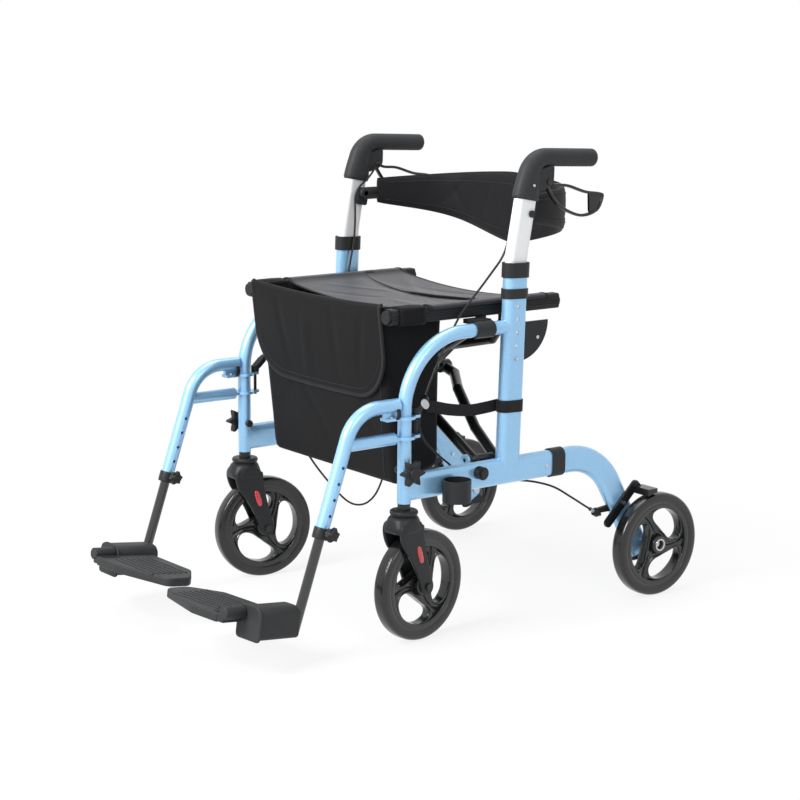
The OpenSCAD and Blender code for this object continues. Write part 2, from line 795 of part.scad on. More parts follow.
// Rounded opening between two spokes, skewed more and more from the hub to the rim
module wheel_opening() {
    steps = 48;
    skew = 0.35;
    hub_r = hub_d / 2 + 8;
    mid_r = (hub_r + rim_in_r) / 2;
    half_r = (rim_in_r - hub_r) / 2;
    function rounded(c) = sign(c) * pow(abs(c), 0.7);
    polygon([for (i = [0 : steps - 1]) let (t = 360 * i / steps, r = mid_r + half_r * sin(t),
            a = skew * (r - mid_r) + (60 - asin(spoke_w / 2 / r)) * rounded(cos(t)))
        [r * cos(a), r * sin(a)]]);
}

module tyre_body() {
    shoulder = 8;
    rotate([0, 90, 0]) rotate_extrude($fn = 96) {
        translate([rim_r, -tyre_w / 2]) square([tyre_t - shoulder, tyre_w]);
        translate([rim_r, -tyre_w / 2 + shoulder]) square([tyre_t, tyre_w - 2 * shoulder]);
        for (s = [-1, 1]) translate([wheel_r - shoulder, s * (tyre_w / 2 - shoulder)]) circle(r = shoulder);
    }
}

module front_wheel() {
    color(black) caster_place() translate([0, caster_trail, wheel_r]) wheel_body(front_axle_d);
}

module front_tyre() {
    color(tyre_black) caster_place() translate([0, caster_trail, wheel_r]) tyre_body();
}

module rear_wheel() {
    color(black) translate([rear_wheel_x, rear_axle_y, wheel_r]) wheel_body(rear_axle_d);
}

module rear_tyre() {
    color(tyre_black) translate([rear_wheel_x, rear_axle_y, wheel_r]) tyre_body();
}

// Rear axle with its nut and spacer, the brake's pivot bolt and the cable's barrel adjuster
module rear_axle() {
    nut_t = 6;
    hub_in_x = rear_wheel_x - tyre_w / 2 - 1.5;
    axle_from = frame_x - oval_w / 2 - nut_t;
    color(steel) {
        bar_x([axle_from, rear_axle_y, wheel_r], rear_axle_d, rear_wheel_x + tyre_w / 2 - 4 - axle_from);
        bar_x([axle_from, rear_axle_y, wheel_r], 17, nut_t - seat_gap, $fn = 6);
        bar_x([beam_out_x + seat_gap, rear_axle_y, wheel_r], 18, hub_in_x - move_gap - beam_out_x - seat_gap);
        bar_x([frame_x - oval_w / 2 - 3, brake_pivot[0], brake_pivot[1]], brake_pin_d,
            arm_x + arm_bar_t + 4 + oval_w / 2 + 3 - frame_x);
        barrel_rod(0, barrel_l, barrel_d);
    }
}

// Flat brake arm on the outside of the leg, with its shoe over the tyre
module brake_arm() {
    arm_w = 18;
    shoe_x = [arm_x, rear_wheel_x + tyre_w / 2 - 2];
    color(black)
    difference() {
        union() {
            translate([arm_x, 0, 0]) rotate([90, 0, 90]) linear_extrude(arm_bar_t) {
                hull() {
                    translate(arm_foot) circle(d = arm_w);
                    translate(arm_top) circle(d = arm_w);
                }
                hull() {
                    translate(arm_top) circle(d = arm_w);
                    translate(shoe_at + [0, 5]) circle(d = 10);
                }
            }
            translate([shoe_x[0], 0, 0]) rotate([90, 0, 90])
                linear_extrude(shoe_x[1] - shoe_x[0]) difference() {
                translate(shoe_at + [-14, -6]) square([24, 16]);
                translate([rear_axle_y, wheel_r]) circle(r = shoe_r, $fn = 96);
            }
        }
        bar_x([frame_x, brake_pivot[0], brake_pivot[1]], brake_pin_d + 2 * run_gap, 2 * oval_w);
    }
}

// Leg rests

module rest_hanger() {
    stub_d = tube_d - 3;
    near_post_y = front_post_y - tube_d / 2 - 3;
    foot = hanger_at(hanger_end_z);
    stub_from = hanger_at(ring_z[1]);
    color(blue)
    difference() {
        union() {
            bar_y([frame_x, hanger_bend_y - bend_lap, hanger_z], tube_d,
                near_post_y - hanger_bend_y + bend_lap);
            elbow(frame_x, [hanger_bend_y, hanger_z - hanger_r], hanger_r, 90, 180 - hanger_lean)
                circle(d = tube_d + bend_swell);
            rod(hanger_end - hanger_dir * bend_lap, foot, tube_d);
            bar_y([frame_x, stub_from[1], ring_z[1]], stub_d, near_post_y - 8 - stub_from[1]);
            translate([frame_x - 4, near_post_y - 30, ring_z[0]]) cube([8, 30, hanger_z - ring_z[0]]);
            for (z = ring_z) translate([0, 0, z - ring_t / 2]) linear_extrude(ring_t) {
                translate([frame_x, front_post_y]) circle(d = tube_d + 2 * ring_w);
                translate([frame_x - 10, near_post_y - 30]) square([20, 30]);
                translate([frame_x - 8, front_post_y]) square([16, lever_pin_y - front_post_y]);
                translate([frame_x, lever_pin_y]) circle(d = 16);
            }
        }
        translate([frame_x, front_post_y, ring_z[1] - tube_d])
            cylinder(d = tube_d + 2 * run_gap, h = hanger_z - ring_z[1] + 2 * tube_d);
        translate([frame_x, lever_pin_y, ring_z[1] - tube_d])
            cylinder(d = release_pin_d + 2 * run_gap, h = hanger_z - ring_z[1] + 2 * tube_d);
        rod(foot + hanger_dir, hanger_at(hanger_end_z + rest_travel + 46), rest_d + 2 * run_gap);
        for (i = [0 : 4]) rest_hole(hanger_at(hanger_end_z + 12 + 27 * i));
    }
}

// Hole across the hanger tube for the clamp knob
module rest_hole(p) {
    bar_x(p - [tube_d, 0, 0], rest_screw_d + 2 * run_gap, 2 * tube_d);
}

// Sliding tube of the leg rest
module rest_tube() {
    color(black) rod(rest_foot, hanger_at(hanger_end_z + 40), rest_d);
}

// Clamp knob beside the leg rest, with its screw; turn is the way it faces about Z
module rest_knob(turn) {
    knob_d = 26;
    from = tube_d / 2 + 14;
    color(black) translate(knob_at) rotate([0, 0, turn]) {
        bar_x([rest_d / 2 + move_gap, 0, 0], rest_screw_d, from - rest_d / 2);
        bar_x([from, 0, 0], knob_d, 10);
        bar_x([from + 10, 0, 0], knob_d - 6, 4);
    }
}

// Puts a footplate piece, modelled from the foot of the sliding tube, in its place and turn
module plate_place(yaw) {
    translate([rest_foot[0], rest_foot[1], hinge_z]) rotate([-plate_tilt, 0, yaw])
        translate([0, 0, -hinge_z]) children();
}

// Housing clamped to the sliding tube, with the hinge's bore
module plate_clamp(yaw) {
    low_z = rest_foot_z - 4;
    to_x = -rest_d / 2 - 1;
    color(black)
    difference() {
        union() {
            plate_place(yaw) translate([0, block_y[1], 0]) rotate([90, 0, 0])
                linear_extrude(block_y[1] - block_y[0]) {
                    translate([hinge_dx, hinge_z]) circle(r = block_r);
                    translate([hinge_dx - block_r, low_z])
                        square([to_x - hinge_dx + block_r, hinge_z - low_z]);
                    translate([hinge_dx, low_z]) square([to_x - hinge_dx, hinge_z - low_z + block_r]);
                }
            rod(hanger_at(rest_foot_z + 2), hanger_at(rest_foot_z + 42), rest_d + 6);
        }
        rod(hanger_at(rest_foot_z - 20), hanger_at(rest_foot_z + 90), rest_d + 2 * seat_gap);
        plate_place(yaw)
            bar_y([hinge_dx, block_y[0] - 1, hinge_z], hinge_pin_d + 2 * run_gap,
                block_y[1] - block_y[0] + 2);
    }
}

// Ribbed footplate with its knuckle and hinge pin
module footplate(yaw) {
    edge_x = hinge_dx - block_r - 1;
    tip_x = hinge_dx - plate_l;
    half = plate_w / 2;
    rib_count = 7;
    knuckle_d = 22;
    knuckle_l = 44;
    knuckle_y = block_y[0] - move_gap - knuckle_l;
    color(black) plate_place(yaw) {
        translate([0, plate_mid_y, plate_top_z - plate_t])
            linear_extrude(plate_t - 3) plate_outline(edge_x, tip_x, half);
        translate([0, plate_mid_y, plate_top_z - 3]) linear_extrude(3) difference() {
            plate_outline(edge_x, tip_x, half);
            for (i = [0 : rib_count - 1])
                translate([tip_x + 40, (i - (rib_count - 1) / 2) * 12 - 2]) square([edge_x - tip_x - 70, 4]);
        }
        difference() {
            union() {
                bar_y([hinge_dx, knuckle_y, hinge_z], knuckle_d, knuckle_l);
                translate([edge_x - 20, knuckle_y, plate_top_z - plate_t])
                    cube([hinge_dx - edge_x + 20, knuckle_l, plate_t]);
            }
            bar_y([hinge_dx, knuckle_y - 1, hinge_z], hinge_pin_d, knuckle_l - 10);
        }
        bar_y([hinge_dx, knuckle_y + knuckle_l - 12, hinge_z], hinge_pin_d, 12 + block_y[1] - block_y[0]);
    }
}

// Footplate seen from above: full width at the hinge, cut off slantwise at the tip
module plate_outline(edge_x, tip_x, half) {
    polygon([[edge_x, -half], [edge_x - 70, -half], [tip_x + 8, -28], [tip_x, -18],
        [tip_x, 18], [tip_x + 8, 28], [tip_x + 60, half], [edge_x, half]]);
}

// Lever that frees the leg rest to swing, on a pin behind the front post
module release_lever() {
    base_z = ring_z[0] + ring_t / 2 + move_gap;
    boss_h = 12;
    pad_tilt = 42;
    pad_w = 18;
    pad_l = 28;
    pad_t = 9;
    low_z = ring_z[1] - ring_t / 2 - 4;
    color(black) {
        difference() {
            union() {
                translate([frame_x, lever_pin_y, base_z]) cylinder(d = 16, h = boss_h);
                translate([frame_x, lever_pin_y + 3, base_z + 3]) rotate([pad_tilt, 0, 0])
                    translate([-pad_w / 2, 0, 0]) soft_block([pad_w, pad_l, pad_t], 3);
            }
            translate([frame_x, lever_pin_y, base_z - 1])
                cylinder(d = release_pin_d + 2 * run_gap, h = 2 * pad_l);
        }
        translate([frame_x, lever_pin_y, low_z]) cylinder(d = release_pin_d, h = base_z + boss_h - low_z);
    }
}

module star_knob() {
    lobe_r = 17;
    from_x = frame_x + tube_d / 2 + 5;
    color(black) {
        bar_x([frame_x - tube_d / 2 - 4, front_post_y, star_z], star_screw_d,
            from_x - frame_x + tube_d / 2 + 5);
        translate([from_x, front_post_y, star_z]) rotate([90, 0, 90]) {
            linear_extrude(14) {
                circle(d = 30);
                for (i = [0 : 5]) rotate(60 * i + 15) translate([lobe_r, 0]) circle(d = 13);
            }
            translate([0, 0, 14]) cylinder(d = 20, h = 3);
        }
        bar_x([frame_x - tube_d / 2 - 8, front_post_y, star_z], 14, 7);
    }
}

// Seat and brace

module seat_rail() {
    rib_d = 3;
    color(black) {
        translate([rail_x - rail_w / 2, rail_front_y, rail_under]) rotate([90, 0, 0]) mirror([0, 0, 1])
            linear_extrude(rail_l) {
                soft_rect(rail_w, rail_h, 5);
                for (z = [9, 14, 19]) translate([rail_w, z]) circle(d = rib_d);
            }
        bar_y([rail_x, rail_front_y - 6, seat_z], rail_h - 4, 6 - seat_gap);
        bar_y([rail_x, rail_rear_y + seat_gap, seat_z], rail_w - 4, 4);
    }
}

// One leg of the brace, from the pivot on its own side up to the rail on the other side:
// a straight bar in front, a bent bar behind, and the pivot tube that joins their feet
module cross_bar(front_y, rear_y) {
    bore_d = cross_bolt_d + 2 * run_gap;
    curve = [[pivot_x, curved_foot_y, pivot_z], [167, curved_foot_y + 10, pivot_z + 40],
        [90, curved_foot_y + 0.45 * (rear_y - curved_foot_y), pivot_z + 100], [34, rear_y, scissor_z - 10],
        [0, rear_y, scissor_z],
        [-70, rear_y, scissor_z + 55], [-188, rear_y, scissor_z + 82], [-rail_x, rear_y, bar_top_z]];
    color(black)
    difference() {
        union() {
            chain([[pivot_x, front_y, pivot_z], [-rail_x, front_y, bar_top_z]], bar_d);
            chain(curve, bar_d);
            for (y = [front_y, rear_y]) {
                translate([-rail_x, y, bar_top_z]) cylinder(d = bar_d, h = rail_under - seat_gap - bar_top_z);
                bar_y([0, y - boss_l / 2, scissor_z], bar_d + 6, boss_l);
            }
            bar_y([pivot_x, ear_y[0] + 1, pivot_z], 16, ear_y[1] - ear_y[0] - 2);
            bar_y([pivot_x, ear_y[0] - ear_t, pivot_z], trunnion_d, ear_y[1] - ear_y[0] + 2 * ear_t);
        }
        bar_y([0, front_y - 2 * bar_d, scissor_z], bore_d, rear_y - front_y + 4 * bar_d);
    }
}

// Bolt through all four bars where they cross
module cross_bolt() {
    head_t = 5;
    from = straight_y[0] - boss_l / 2 - seat_gap;
    to = curved_y[0] + boss_l / 2 + seat_gap;
    color(steel) {
        bar_y([0, from, scissor_z], cross_bolt_d, to - from);
        bar_y([0, from - head_t, scissor_z], cross_bolt_d + 8, head_t);
        bar_y([0, to, scissor_z], cross_bolt_d + 8, head_t);
    }
}

// Seat cloth hung between the rails, sagging along a parabola
module seat_cloth() {
    half = rail_x - rail_w / 2 - move_gap;
    steps = 24;
    function drop(x) = cloth_sag * (1 - (x / half) * (x / half));
    top = [for (i = [0 : steps]) let (x = half * (2 * i / steps - 1)) [x, cloth_edge_z - drop(x)]];
    under = [for (i = [steps : -1 : 0]) top[i] - [0, cloth_t]];
    color(cloth_black)
        translate([0, cloth_front_y, 0]) rotate([90, 0, 0]) mirror([0, 0, 1])
        linear_extrude(cloth_l) polygon(concat(top, under));
}

// Bag, its flap and the back strap

// Side outline of the bag, drawn in by that much and open at the top: it steps down under the seat cloth
module bag_side(in) {
    foot_z = bag_top_z - bag_h + in;
    rear_y = bag_front_y + bag_depth - in;
    polygon([[bag_front_y + in, bag_top_z + in], [bag_front_y + bag_lean + in, foot_z],
        [rear_y - 4, foot_z + bag_tuck], [rear_y, bag_rear_z + in], [cloth_front_y - 4 + in, bag_rear_z + in],
        [cloth_front_y - 4 + in, bag_top_z + in]]);
}

// Front outline of the bag, drawn in by that much: its own width below the rails, and a neck between them
module bag_front(in) {
    lap = 20;
    translate([-bag_w / 2 + in, 0]) square([bag_w - 2 * in, bag_neck_z]);
    translate([-bag_neck_w / 2 + in, bag_neck_z - lap])
        square([bag_neck_w - 2 * in, bag_top_z + lap - bag_neck_z + in]);
}

// Room that the bag takes, drawn in by that much on every side
module bag_room(in) {
    intersection() {
        translate([-bag_w, 0, 0]) rotate([90, 0, 90]) linear_extrude(2 * bag_w) bag_side(in);
        translate([0, bag_front_y - 1, 0]) rotate([90, 0, 0]) mirror([0, 0, 1])
            linear_extrude(bag_depth + 2) bag_front(in);
    }
}

module bag() {
    tab_l = 60;
    tab_h = 12;
    reach = rail_x - rail_w / 2 - move_gap;
    color(cloth_black) {
        difference() {
            union() {
                bag_room(0);
                for (s = [-1, 1])
                    translate([s > 0 ? bag_neck_w / 2 - 1 : -reach, bag_front_y + 16, bag_top_z - tab_h])
                        cube([reach - bag_neck_w / 2 + 1, tab_l, tab_h]);
            }
            bag_room(bag_wall);
        }
    }
}

// Flap with round lower corners, hinged at the bag's top front edge
module bag_flap() {
    lean = atan(bag_lean / bag_h);
    w = bag_neck_w + bag_gap;
    color(cloth_black)
        translate([-w / 2, bag_front_y - flap_t - move_gap, bag_top_z]) rotate([90 + lean, 0, 0])
            mirror([0, 1, 0])
        mirror([0, 0, 1]) linear_extrude(flap_t) {
            square([w, flap_h - flap_r]);
            translate([flap_r, 0]) square([w - 2 * flap_r, flap_h]);
            for (x = [flap_r, w - flap_r]) translate([x, flap_h - flap_r]) circle(r = flap_r);
        }
}

// Padded strap across the back: it bows to the rear, widens towards the middle, where it hangs lowest,
// and is thickest along its centre line. Rings of points run from one end to the other.
module back_strap() {
    half = bracket_in_x - move_gap - arm_t / 2;
    end_y = strap_pivot[0] + 30;
    end_h = 44;
    pad_t = 14;
    mid_round = 0.06;
    mid_drop = 24;
    end_rise = 5;
    end_t = arm_t;
    steps = 40;
    sides = 20;
    function along(u) = half * sign(u) * (1 - pow(1 - abs(u), 1.6));
    function bow(x) = end_y + strap_bow * (1 - pow(abs(x) / half, 6));
    function away(u) = sqrt(u * u + mid_round * mid_round) - mid_round;
    function widening(u) = pow(1 - away(u) / away(1), 1.15);
    function plump(u) = 1 - pow(abs(u), 4);
    function mid_z(u) = strap_pivot[1] + end_rise - mid_drop * widening(u);
    function ring(u) = let (
            x = along(u), slope = (bow(x + 0.2) - bow(x - 0.2)) / 0.4, n = unit([-slope, 1, 0]),
            h = end_h + (strap_h - end_h) * widening(u), t = end_t + (pad_t - end_t) * plump(u))
        [for (k = [0 : sides - 1]) let (a = 360 * k / sides)
            [x, bow(x), mid_z(u)] + n * (t / 2 * cos(a))
                + [0, 0, h / 2 * sign(sin(a)) * pow(abs(sin(a)), 0.6)]];
    points = [for (i = [0 : steps]) each ring(2 * i / steps - 1)];
    skin = [for (i = [0 : steps - 1], k = [0 : sides - 1]) let (j = (k + 1) % sides)
        each [[i * sides + k, (i + 1) * sides + k, i * sides + j],
            [i * sides + j, (i + 1) * sides + k, (i + 1) * sides + j]]];
    start = [for (k = [1 : sides - 2]) [0, k, k + 1]];
    last = steps * sides;
    end = [for (k = [1 : sides - 2]) [last, last + k + 1, last + k]];
    color(cloth_black) {
        polyhedron(points, concat(skin, start, end));
        for (s = [0, 1]) mirror([s, 0, 0]) strap_arm(half, end_y);
    }
}

// Flat arm from the bracket's pin to the end of the strap
module strap_arm(half, end_y) {
    arm_h = 24;
    translate([half - arm_t / 2, 0, 0]) rotate([90, 0, 90]) linear_extrude(arm_t) difference() {
        union() {
            translate(strap_pivot) circle(d = arm_h);
            translate(strap_pivot + [0, -arm_h / 2]) square([end_y - strap_pivot[0] - move_gap, arm_h]);
        }
        translate(strap_pivot) circle(d = strap_pin_d + 2 * run_gap);
    }
}

// Webbing from the side of the bag round the left rear post
module bag_strap() {
    strap_s_up = 110;
    webbing_h = 22;
    webbing_t = 2;
    loop_at = post_base + post_dir * strap_s_up;
    from = [bag_w / 2 + move_gap, bag_front_y + bag_depth - 12];
    to = [frame_x - post_w / 2 - webbing_t, loop_at[1] - 8];
    color(cloth_black) {
        difference() {
            push(loop_at, rear_post_lean, webbing_h)
                stadium(oval_h + 2 * (webbing_t + seat_gap), post_w + 2 * (webbing_t + seat_gap));
            push(loop_at - post_dir, rear_post_lean, webbing_h + 2)
                stadium(oval_h + 2 * seat_gap, post_w + 2 * seat_gap);
        }
        translate([0, 0, loop_at[2]]) linear_extrude(webbing_h)
            polygon([from, from + [webbing_t, 0], to + [webbing_t, 0], to + [webbing_t, 6], to + [0, 6]]);
    }
}

// Cup on the left beam for the tip of a cane, and the clip behind it
module cane_cup() {
    outer_d = cup_bore_d + 2 * cup_wall;
    floor_t = 4;
    clip_d = 24;
    color(black) {
        difference() {
            union() {
                translate([cup_x, cup_y, cup_top_z - cup_depth - floor_t])
                    cylinder(d = outer_d, h = cup_depth + floor_t);
                translate([beam_out_x + seat_gap, cup_y - 12, cup_top_z - 28])
                    cube([cup_x - beam_out_x - 10, 24, 22]);
            }
            translate([cup_x, cup_y, cup_top_z - cup_depth]) cylinder(d = cup_bore_d, h = cup_depth + 1);
        }
        bar_x([beam_out_x + seat_gap, 3, beam_z + 8], clip_d, 14);
        bar_x([beam_out_x + seat_gap + 14, 3, beam_z + 8], clip_d - 8, 4);
    }
}

side_frame();  // left_side_frame
mirrored() side_frame();  // right_side_frame
rear_leg();  // left_rear_leg
mirrored() rear_leg();  // right_rear_leg
frame_fittings(true);  // left_frame_fittings
mirrored() frame_fittings(false);  // right_frame_fittings
handle_post();  // left_handle_post
mirrored() handle_post();  // right_handle_post
hand_grip();  // left_hand_grip
mirrored() hand_grip();  // right_hand_grip
brake_lever();  // left_brake_lever
mirrored() brake_lever();  // right_brake_lever
left_brake_cable();
right_brake_cable();
height_button();  // left_height_button
mirrored() height_button();  // right_height_button
caster_fork();  // left_caster_fork
mirrored() caster_fork();  // right_caster_fork
caster_axle();  // left_caster_axle
mirrored() caster_axle();  // right_caster_axle
front_wheel();  // left_front_wheel
mirrored() front_wheel();  // right_front_wheel
front_tyre();  // left_front_tyre
mirrored() front_tyre();  // right_front_tyre
rear_wheel();  // left_rear_wheel
mirrored() rear_wheel();  // right_rear_wheel
rear_tyre();  // left_rear_tyre
mirrored() rear_tyre();  // right_rear_tyre
rear_axle();  // left_rear_axle
mirrored() rear_axle();  // right_rear_axle
brake_arm();  // left_brake_arm
mirrored() brake_arm();  // right_brake_arm
rest_hanger();  // left_rest_hanger
mirrored() rest_hanger();  // right_rest_hanger
rest_tube();  // left_rest_tube
mirrored() rest_tube();  // right_rest_tube
rest_knob(0);  // left_rest_knob
mirrored() rest_knob(180);  // right_rest_knob
footplate(left_plate_yaw);  // left_footplate
mirrored() footplate(right_plate_yaw);  // right_footplate
plate_clamp(left_plate_yaw);  // left_plate_clamp
mirrored() plate_clamp(right_plate_yaw);  // right_plate_clamp
release_lever();  // left_release_lever
mirrored() release_lever();  // right_release_lever
star_knob();  // left_star_knob
mirrored() star_knob();  // right_star_knob
seat_rail();  // left_seat_rail
mirrored() seat_rail();  // right_seat_rail
cross_bar(straight_y[0], curved_y[0]);  // left_cross_bar
mirrored() cross_bar(straight_y[1], curved_y[1]);  // right_cross_bar
back_bracket();  // left_back_bracket
mirrored() back_bracket();  // right_back_bracket
cross_bolt();
seat_cloth();
bag();
bag_flap();
back_strap();
bag_strap();
cane_cup();
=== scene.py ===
"""Looks of a folding rollator transport chair: finishes, soft goods, cables and mouldings on its frame.

Metres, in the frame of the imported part: +Z up, +Y to the rear, +X to the sitter's left, origin on the floor.
"""
import math

import bmesh
import bpy
import numpy as np
from mathutils import Matrix, Vector


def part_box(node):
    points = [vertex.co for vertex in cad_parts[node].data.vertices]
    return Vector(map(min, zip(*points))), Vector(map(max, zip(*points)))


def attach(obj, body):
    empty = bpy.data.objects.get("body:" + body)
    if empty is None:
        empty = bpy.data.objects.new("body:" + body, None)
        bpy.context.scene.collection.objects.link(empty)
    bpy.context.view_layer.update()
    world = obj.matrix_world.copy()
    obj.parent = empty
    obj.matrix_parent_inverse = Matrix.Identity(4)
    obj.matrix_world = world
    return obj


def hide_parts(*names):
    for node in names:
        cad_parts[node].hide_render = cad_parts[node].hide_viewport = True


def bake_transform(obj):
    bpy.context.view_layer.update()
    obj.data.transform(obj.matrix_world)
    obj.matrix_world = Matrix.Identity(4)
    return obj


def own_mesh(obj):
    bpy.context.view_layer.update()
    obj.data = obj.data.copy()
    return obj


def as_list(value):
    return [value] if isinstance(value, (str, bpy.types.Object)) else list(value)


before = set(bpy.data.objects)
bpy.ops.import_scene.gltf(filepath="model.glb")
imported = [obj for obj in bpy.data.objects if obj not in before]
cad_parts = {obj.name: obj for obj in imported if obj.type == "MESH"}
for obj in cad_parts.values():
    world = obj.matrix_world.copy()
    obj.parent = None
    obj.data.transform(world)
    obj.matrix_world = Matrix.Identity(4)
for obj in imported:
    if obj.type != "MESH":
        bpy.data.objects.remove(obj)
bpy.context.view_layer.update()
MM = 0.001
SIDES = {"left": 1, "right": -1}

# Camera at the photograph's viewing angle
CAMERA_AT = Vector((2.9392, -2.1995, 1.1028))
CAMERA_TO = Vector((0.0, 0.030, 0.381))
CAMERA_ROLL = math.radians(0.361)
LENS_MM = 88.2
SENSOR_MM = 36


def make_camera():
    """The camera looks from CAMERA_AT to CAMERA_TO and is rolled a little about its line of sight."""
    data = bpy.data.cameras.new("camera")
    data.lens = LENS_MM
    data.sensor_width = SENSOR_MM
    camera = bpy.data.objects.new("camera", data)
    bpy.context.scene.collection.objects.link(camera)
    back = (CAMERA_AT - CAMERA_TO).normalized()
    level = Vector((0, 0, 1)).cross(back).normalized()
    up = back.cross(level)
    turned = level * math.cos(CAMERA_ROLL) + up * math.sin(CAMERA_ROLL)
    axes = Matrix((turned, back.cross(turned), back)).transposed().to_4x4()
    camera.matrix_world = Matrix.Translation(CAMERA_AT) @ axes
    bpy.context.scene.camera = camera


# Nodes and colours


def linear(hex_code):
    """An sRGB hex colour as linear RGBA."""
    srgb = np.array([int(hex_code[i:i + 2], 16) for i in (1, 3, 5)]) / 255
    low = srgb / 12.92
    high = ((srgb + 0.055) / 1.055) ** 2.4
    return (*np.where(srgb <= 0.04045, low, high).tolist(), 1.0)


def add(tree, kind, sockets=None, **settings):
    """Adds one node with its settings; a socket's value is a number, a colour or another node's output."""
    node = tree.nodes.new("ShaderNode" + kind)
    for name, value in settings.items():
        setattr(node, name, value)
    for name, value in (sockets or {}).items():
        if isinstance(value, bpy.types.NodeSocket):
            tree.links.new(value, node.inputs[name])
        else:
            node.inputs[name].default_value = value
    return node


def new_material(name, **sockets):
    """A material with one Principled shader, its plain values set on the shader's own sockets."""
    material = bpy.data.materials.new(name)
    material.use_nodes = True
    shader = material.node_tree.nodes["Principled BSDF"]
    for key, value in sockets.items():
        shader.inputs[key.replace("_", " ")].default_value = value
    return material, material.node_tree, shader


def feed(tree, shader, tone, gloss=None, bump=None):
    """Links a mixed colour and, where given, a roughness range and a bump to the shader."""
    tree.links.new(tone.outputs[2], shader.inputs["Base Color"])
    if gloss is not None:
        tree.links.new(gloss.outputs["Result"], shader.inputs["Roughness"])
    if bump is not None:
        tree.links.new(bump.outputs["Normal"], shader.inputs["Normal"])


def per_metre(size_mm):
    """Noise or cell scale that gives features of that size."""
    return 1 / (size_mm * MM)


def wave_scale(pitch_mm):
    """Wave texture scale that gives that pitch: its bands repeat every 2 pi / 20 units."""
    return 2 * math.pi / 20 / (pitch_mm * MM)


# Finishes


def blue_metallic_paint():
    """Sprayed metallic paint under clear lacquer: bright flakes, a faint orange peel, clear highlights."""
    made, tree, shader = new_material("blue_metallic_paint", Metallic=0.45, Roughness=0.32, Coat_Weight=0.7,
                                      Coat_Roughness=0.06)
    place = add(tree, "TexCoord").outputs["Object"]
    # Real flakes are 0.05 mm; they are drawn at 1.1 mm so that they show
    flakes = add(tree, "TexVoronoi", {"Vector": place, "Scale": per_metre(1.1)})
    tone = add(tree, "Mix", {"Factor": flakes.outputs["Distance"], "A": linear("#80B8E4"),
                             "B": linear("#A6D4F5")}, data_type="RGBA")
    peel = add(tree, "TexNoise", {"Vector": place, "Scale": per_metre(3), "Detail": 2.0})
    bump = add(tree, "Bump", {"Height": peel.outputs["Fac"], "Strength": 0.03, "Distance": 0.4 * MM})
    feed(tree, shader, tone, bump=bump)
    return made


def silver_white_paint():
    """Satin silver-white paint on the drawn aluminium handle tubes: pale, with faint drawing lines."""
    made, tree, shader = new_material("silver_white_paint", Metallic=0.05, Coat_Weight=0.35,
                                      Coat_Roughness=0.12)
    place = add(tree, "TexCoord").outputs["Object"]
    run = add(tree, "Mapping", {"Vector": place, "Scale": (1.0, 1.0, 0.02)})
    lines = add(tree, "TexNoise", {"Vector": run.outputs["Vector"], "Scale": per_metre(1.5), "Detail": 3.0})
    tone = add(tree, "Mix", {"Factor": lines.outputs["Fac"], "A": linear("#EEF0F2"), "B": linear("#F8F9FA")},
               data_type="RGBA")
    gloss = add(tree, "MapRange", {"Value": lines.outputs["Fac"], "To Min": 0.24, "To Max": 0.36})
    feed(tree, shader, tone, gloss)
    return made


def grained_finish(name, dark, pale, rough, grain_mm, depth_mm, coat=0.0, specular=0.3):
    """A moulding or enamel: two close tones in a fine grain, which roughens and dents the surface."""
    made, tree, shader = new_material(name, Coat_Weight=coat, Coat_Roughness=0.12,
                                      Specular_IOR_Level=specular)
    place = add(tree, "TexCoord").outputs["Object"]
    grain = add(tree, "TexNoise", {"Vector": place, "Scale": per_metre(grain_mm), "Detail": 4.0})
    cloud = add(tree, "TexNoise", {"Vector": place, "Scale": per_metre(40), "Detail": 2.0})
    tone = add(tree, "Mix", {"Factor": grain.outputs["Fac"], "A": linear(dark), "B": linear(pale)},
               data_type="RGBA")
    gloss = add(tree, "MapRange", {"Value": cloud.outputs["Fac"], "To Min": rough - 0.06,
                                   "To Max": rough + 0.06})
    bump = add(tree, "Bump", {"Height": grain.outputs["Fac"], "Strength": 0.35, "Distance": depth_mm * MM})
    feed(tree, shader, tone, gloss, bump)
    return made


def bright_zinc_steel():
    """Bright plated steel of screws, axles and buttons: metal with faint turning marks and dull spots."""
    made, tree, shader = new_material("bright_zinc_steel", Metallic=1.0)
    place = add(tree, "TexCoord").outputs["Object"]
    marks = add(tree, "TexNoise", {"Vector": place, "Scale": per_metre(0.8), "Detail": 3.0})
    tone = add(tree, "Mix", {"Factor": marks.outputs["Fac"], "A": linear("#A9ACB1"), "B": linear("#D3D5D8")},
               data_type="RGBA")
    gloss = add(tree, "MapRange", {"Value": marks.outputs["Fac"], "To Min": 0.16, "To Max": 0.34})
    feed(tree, shader, tone, gloss)
    return made


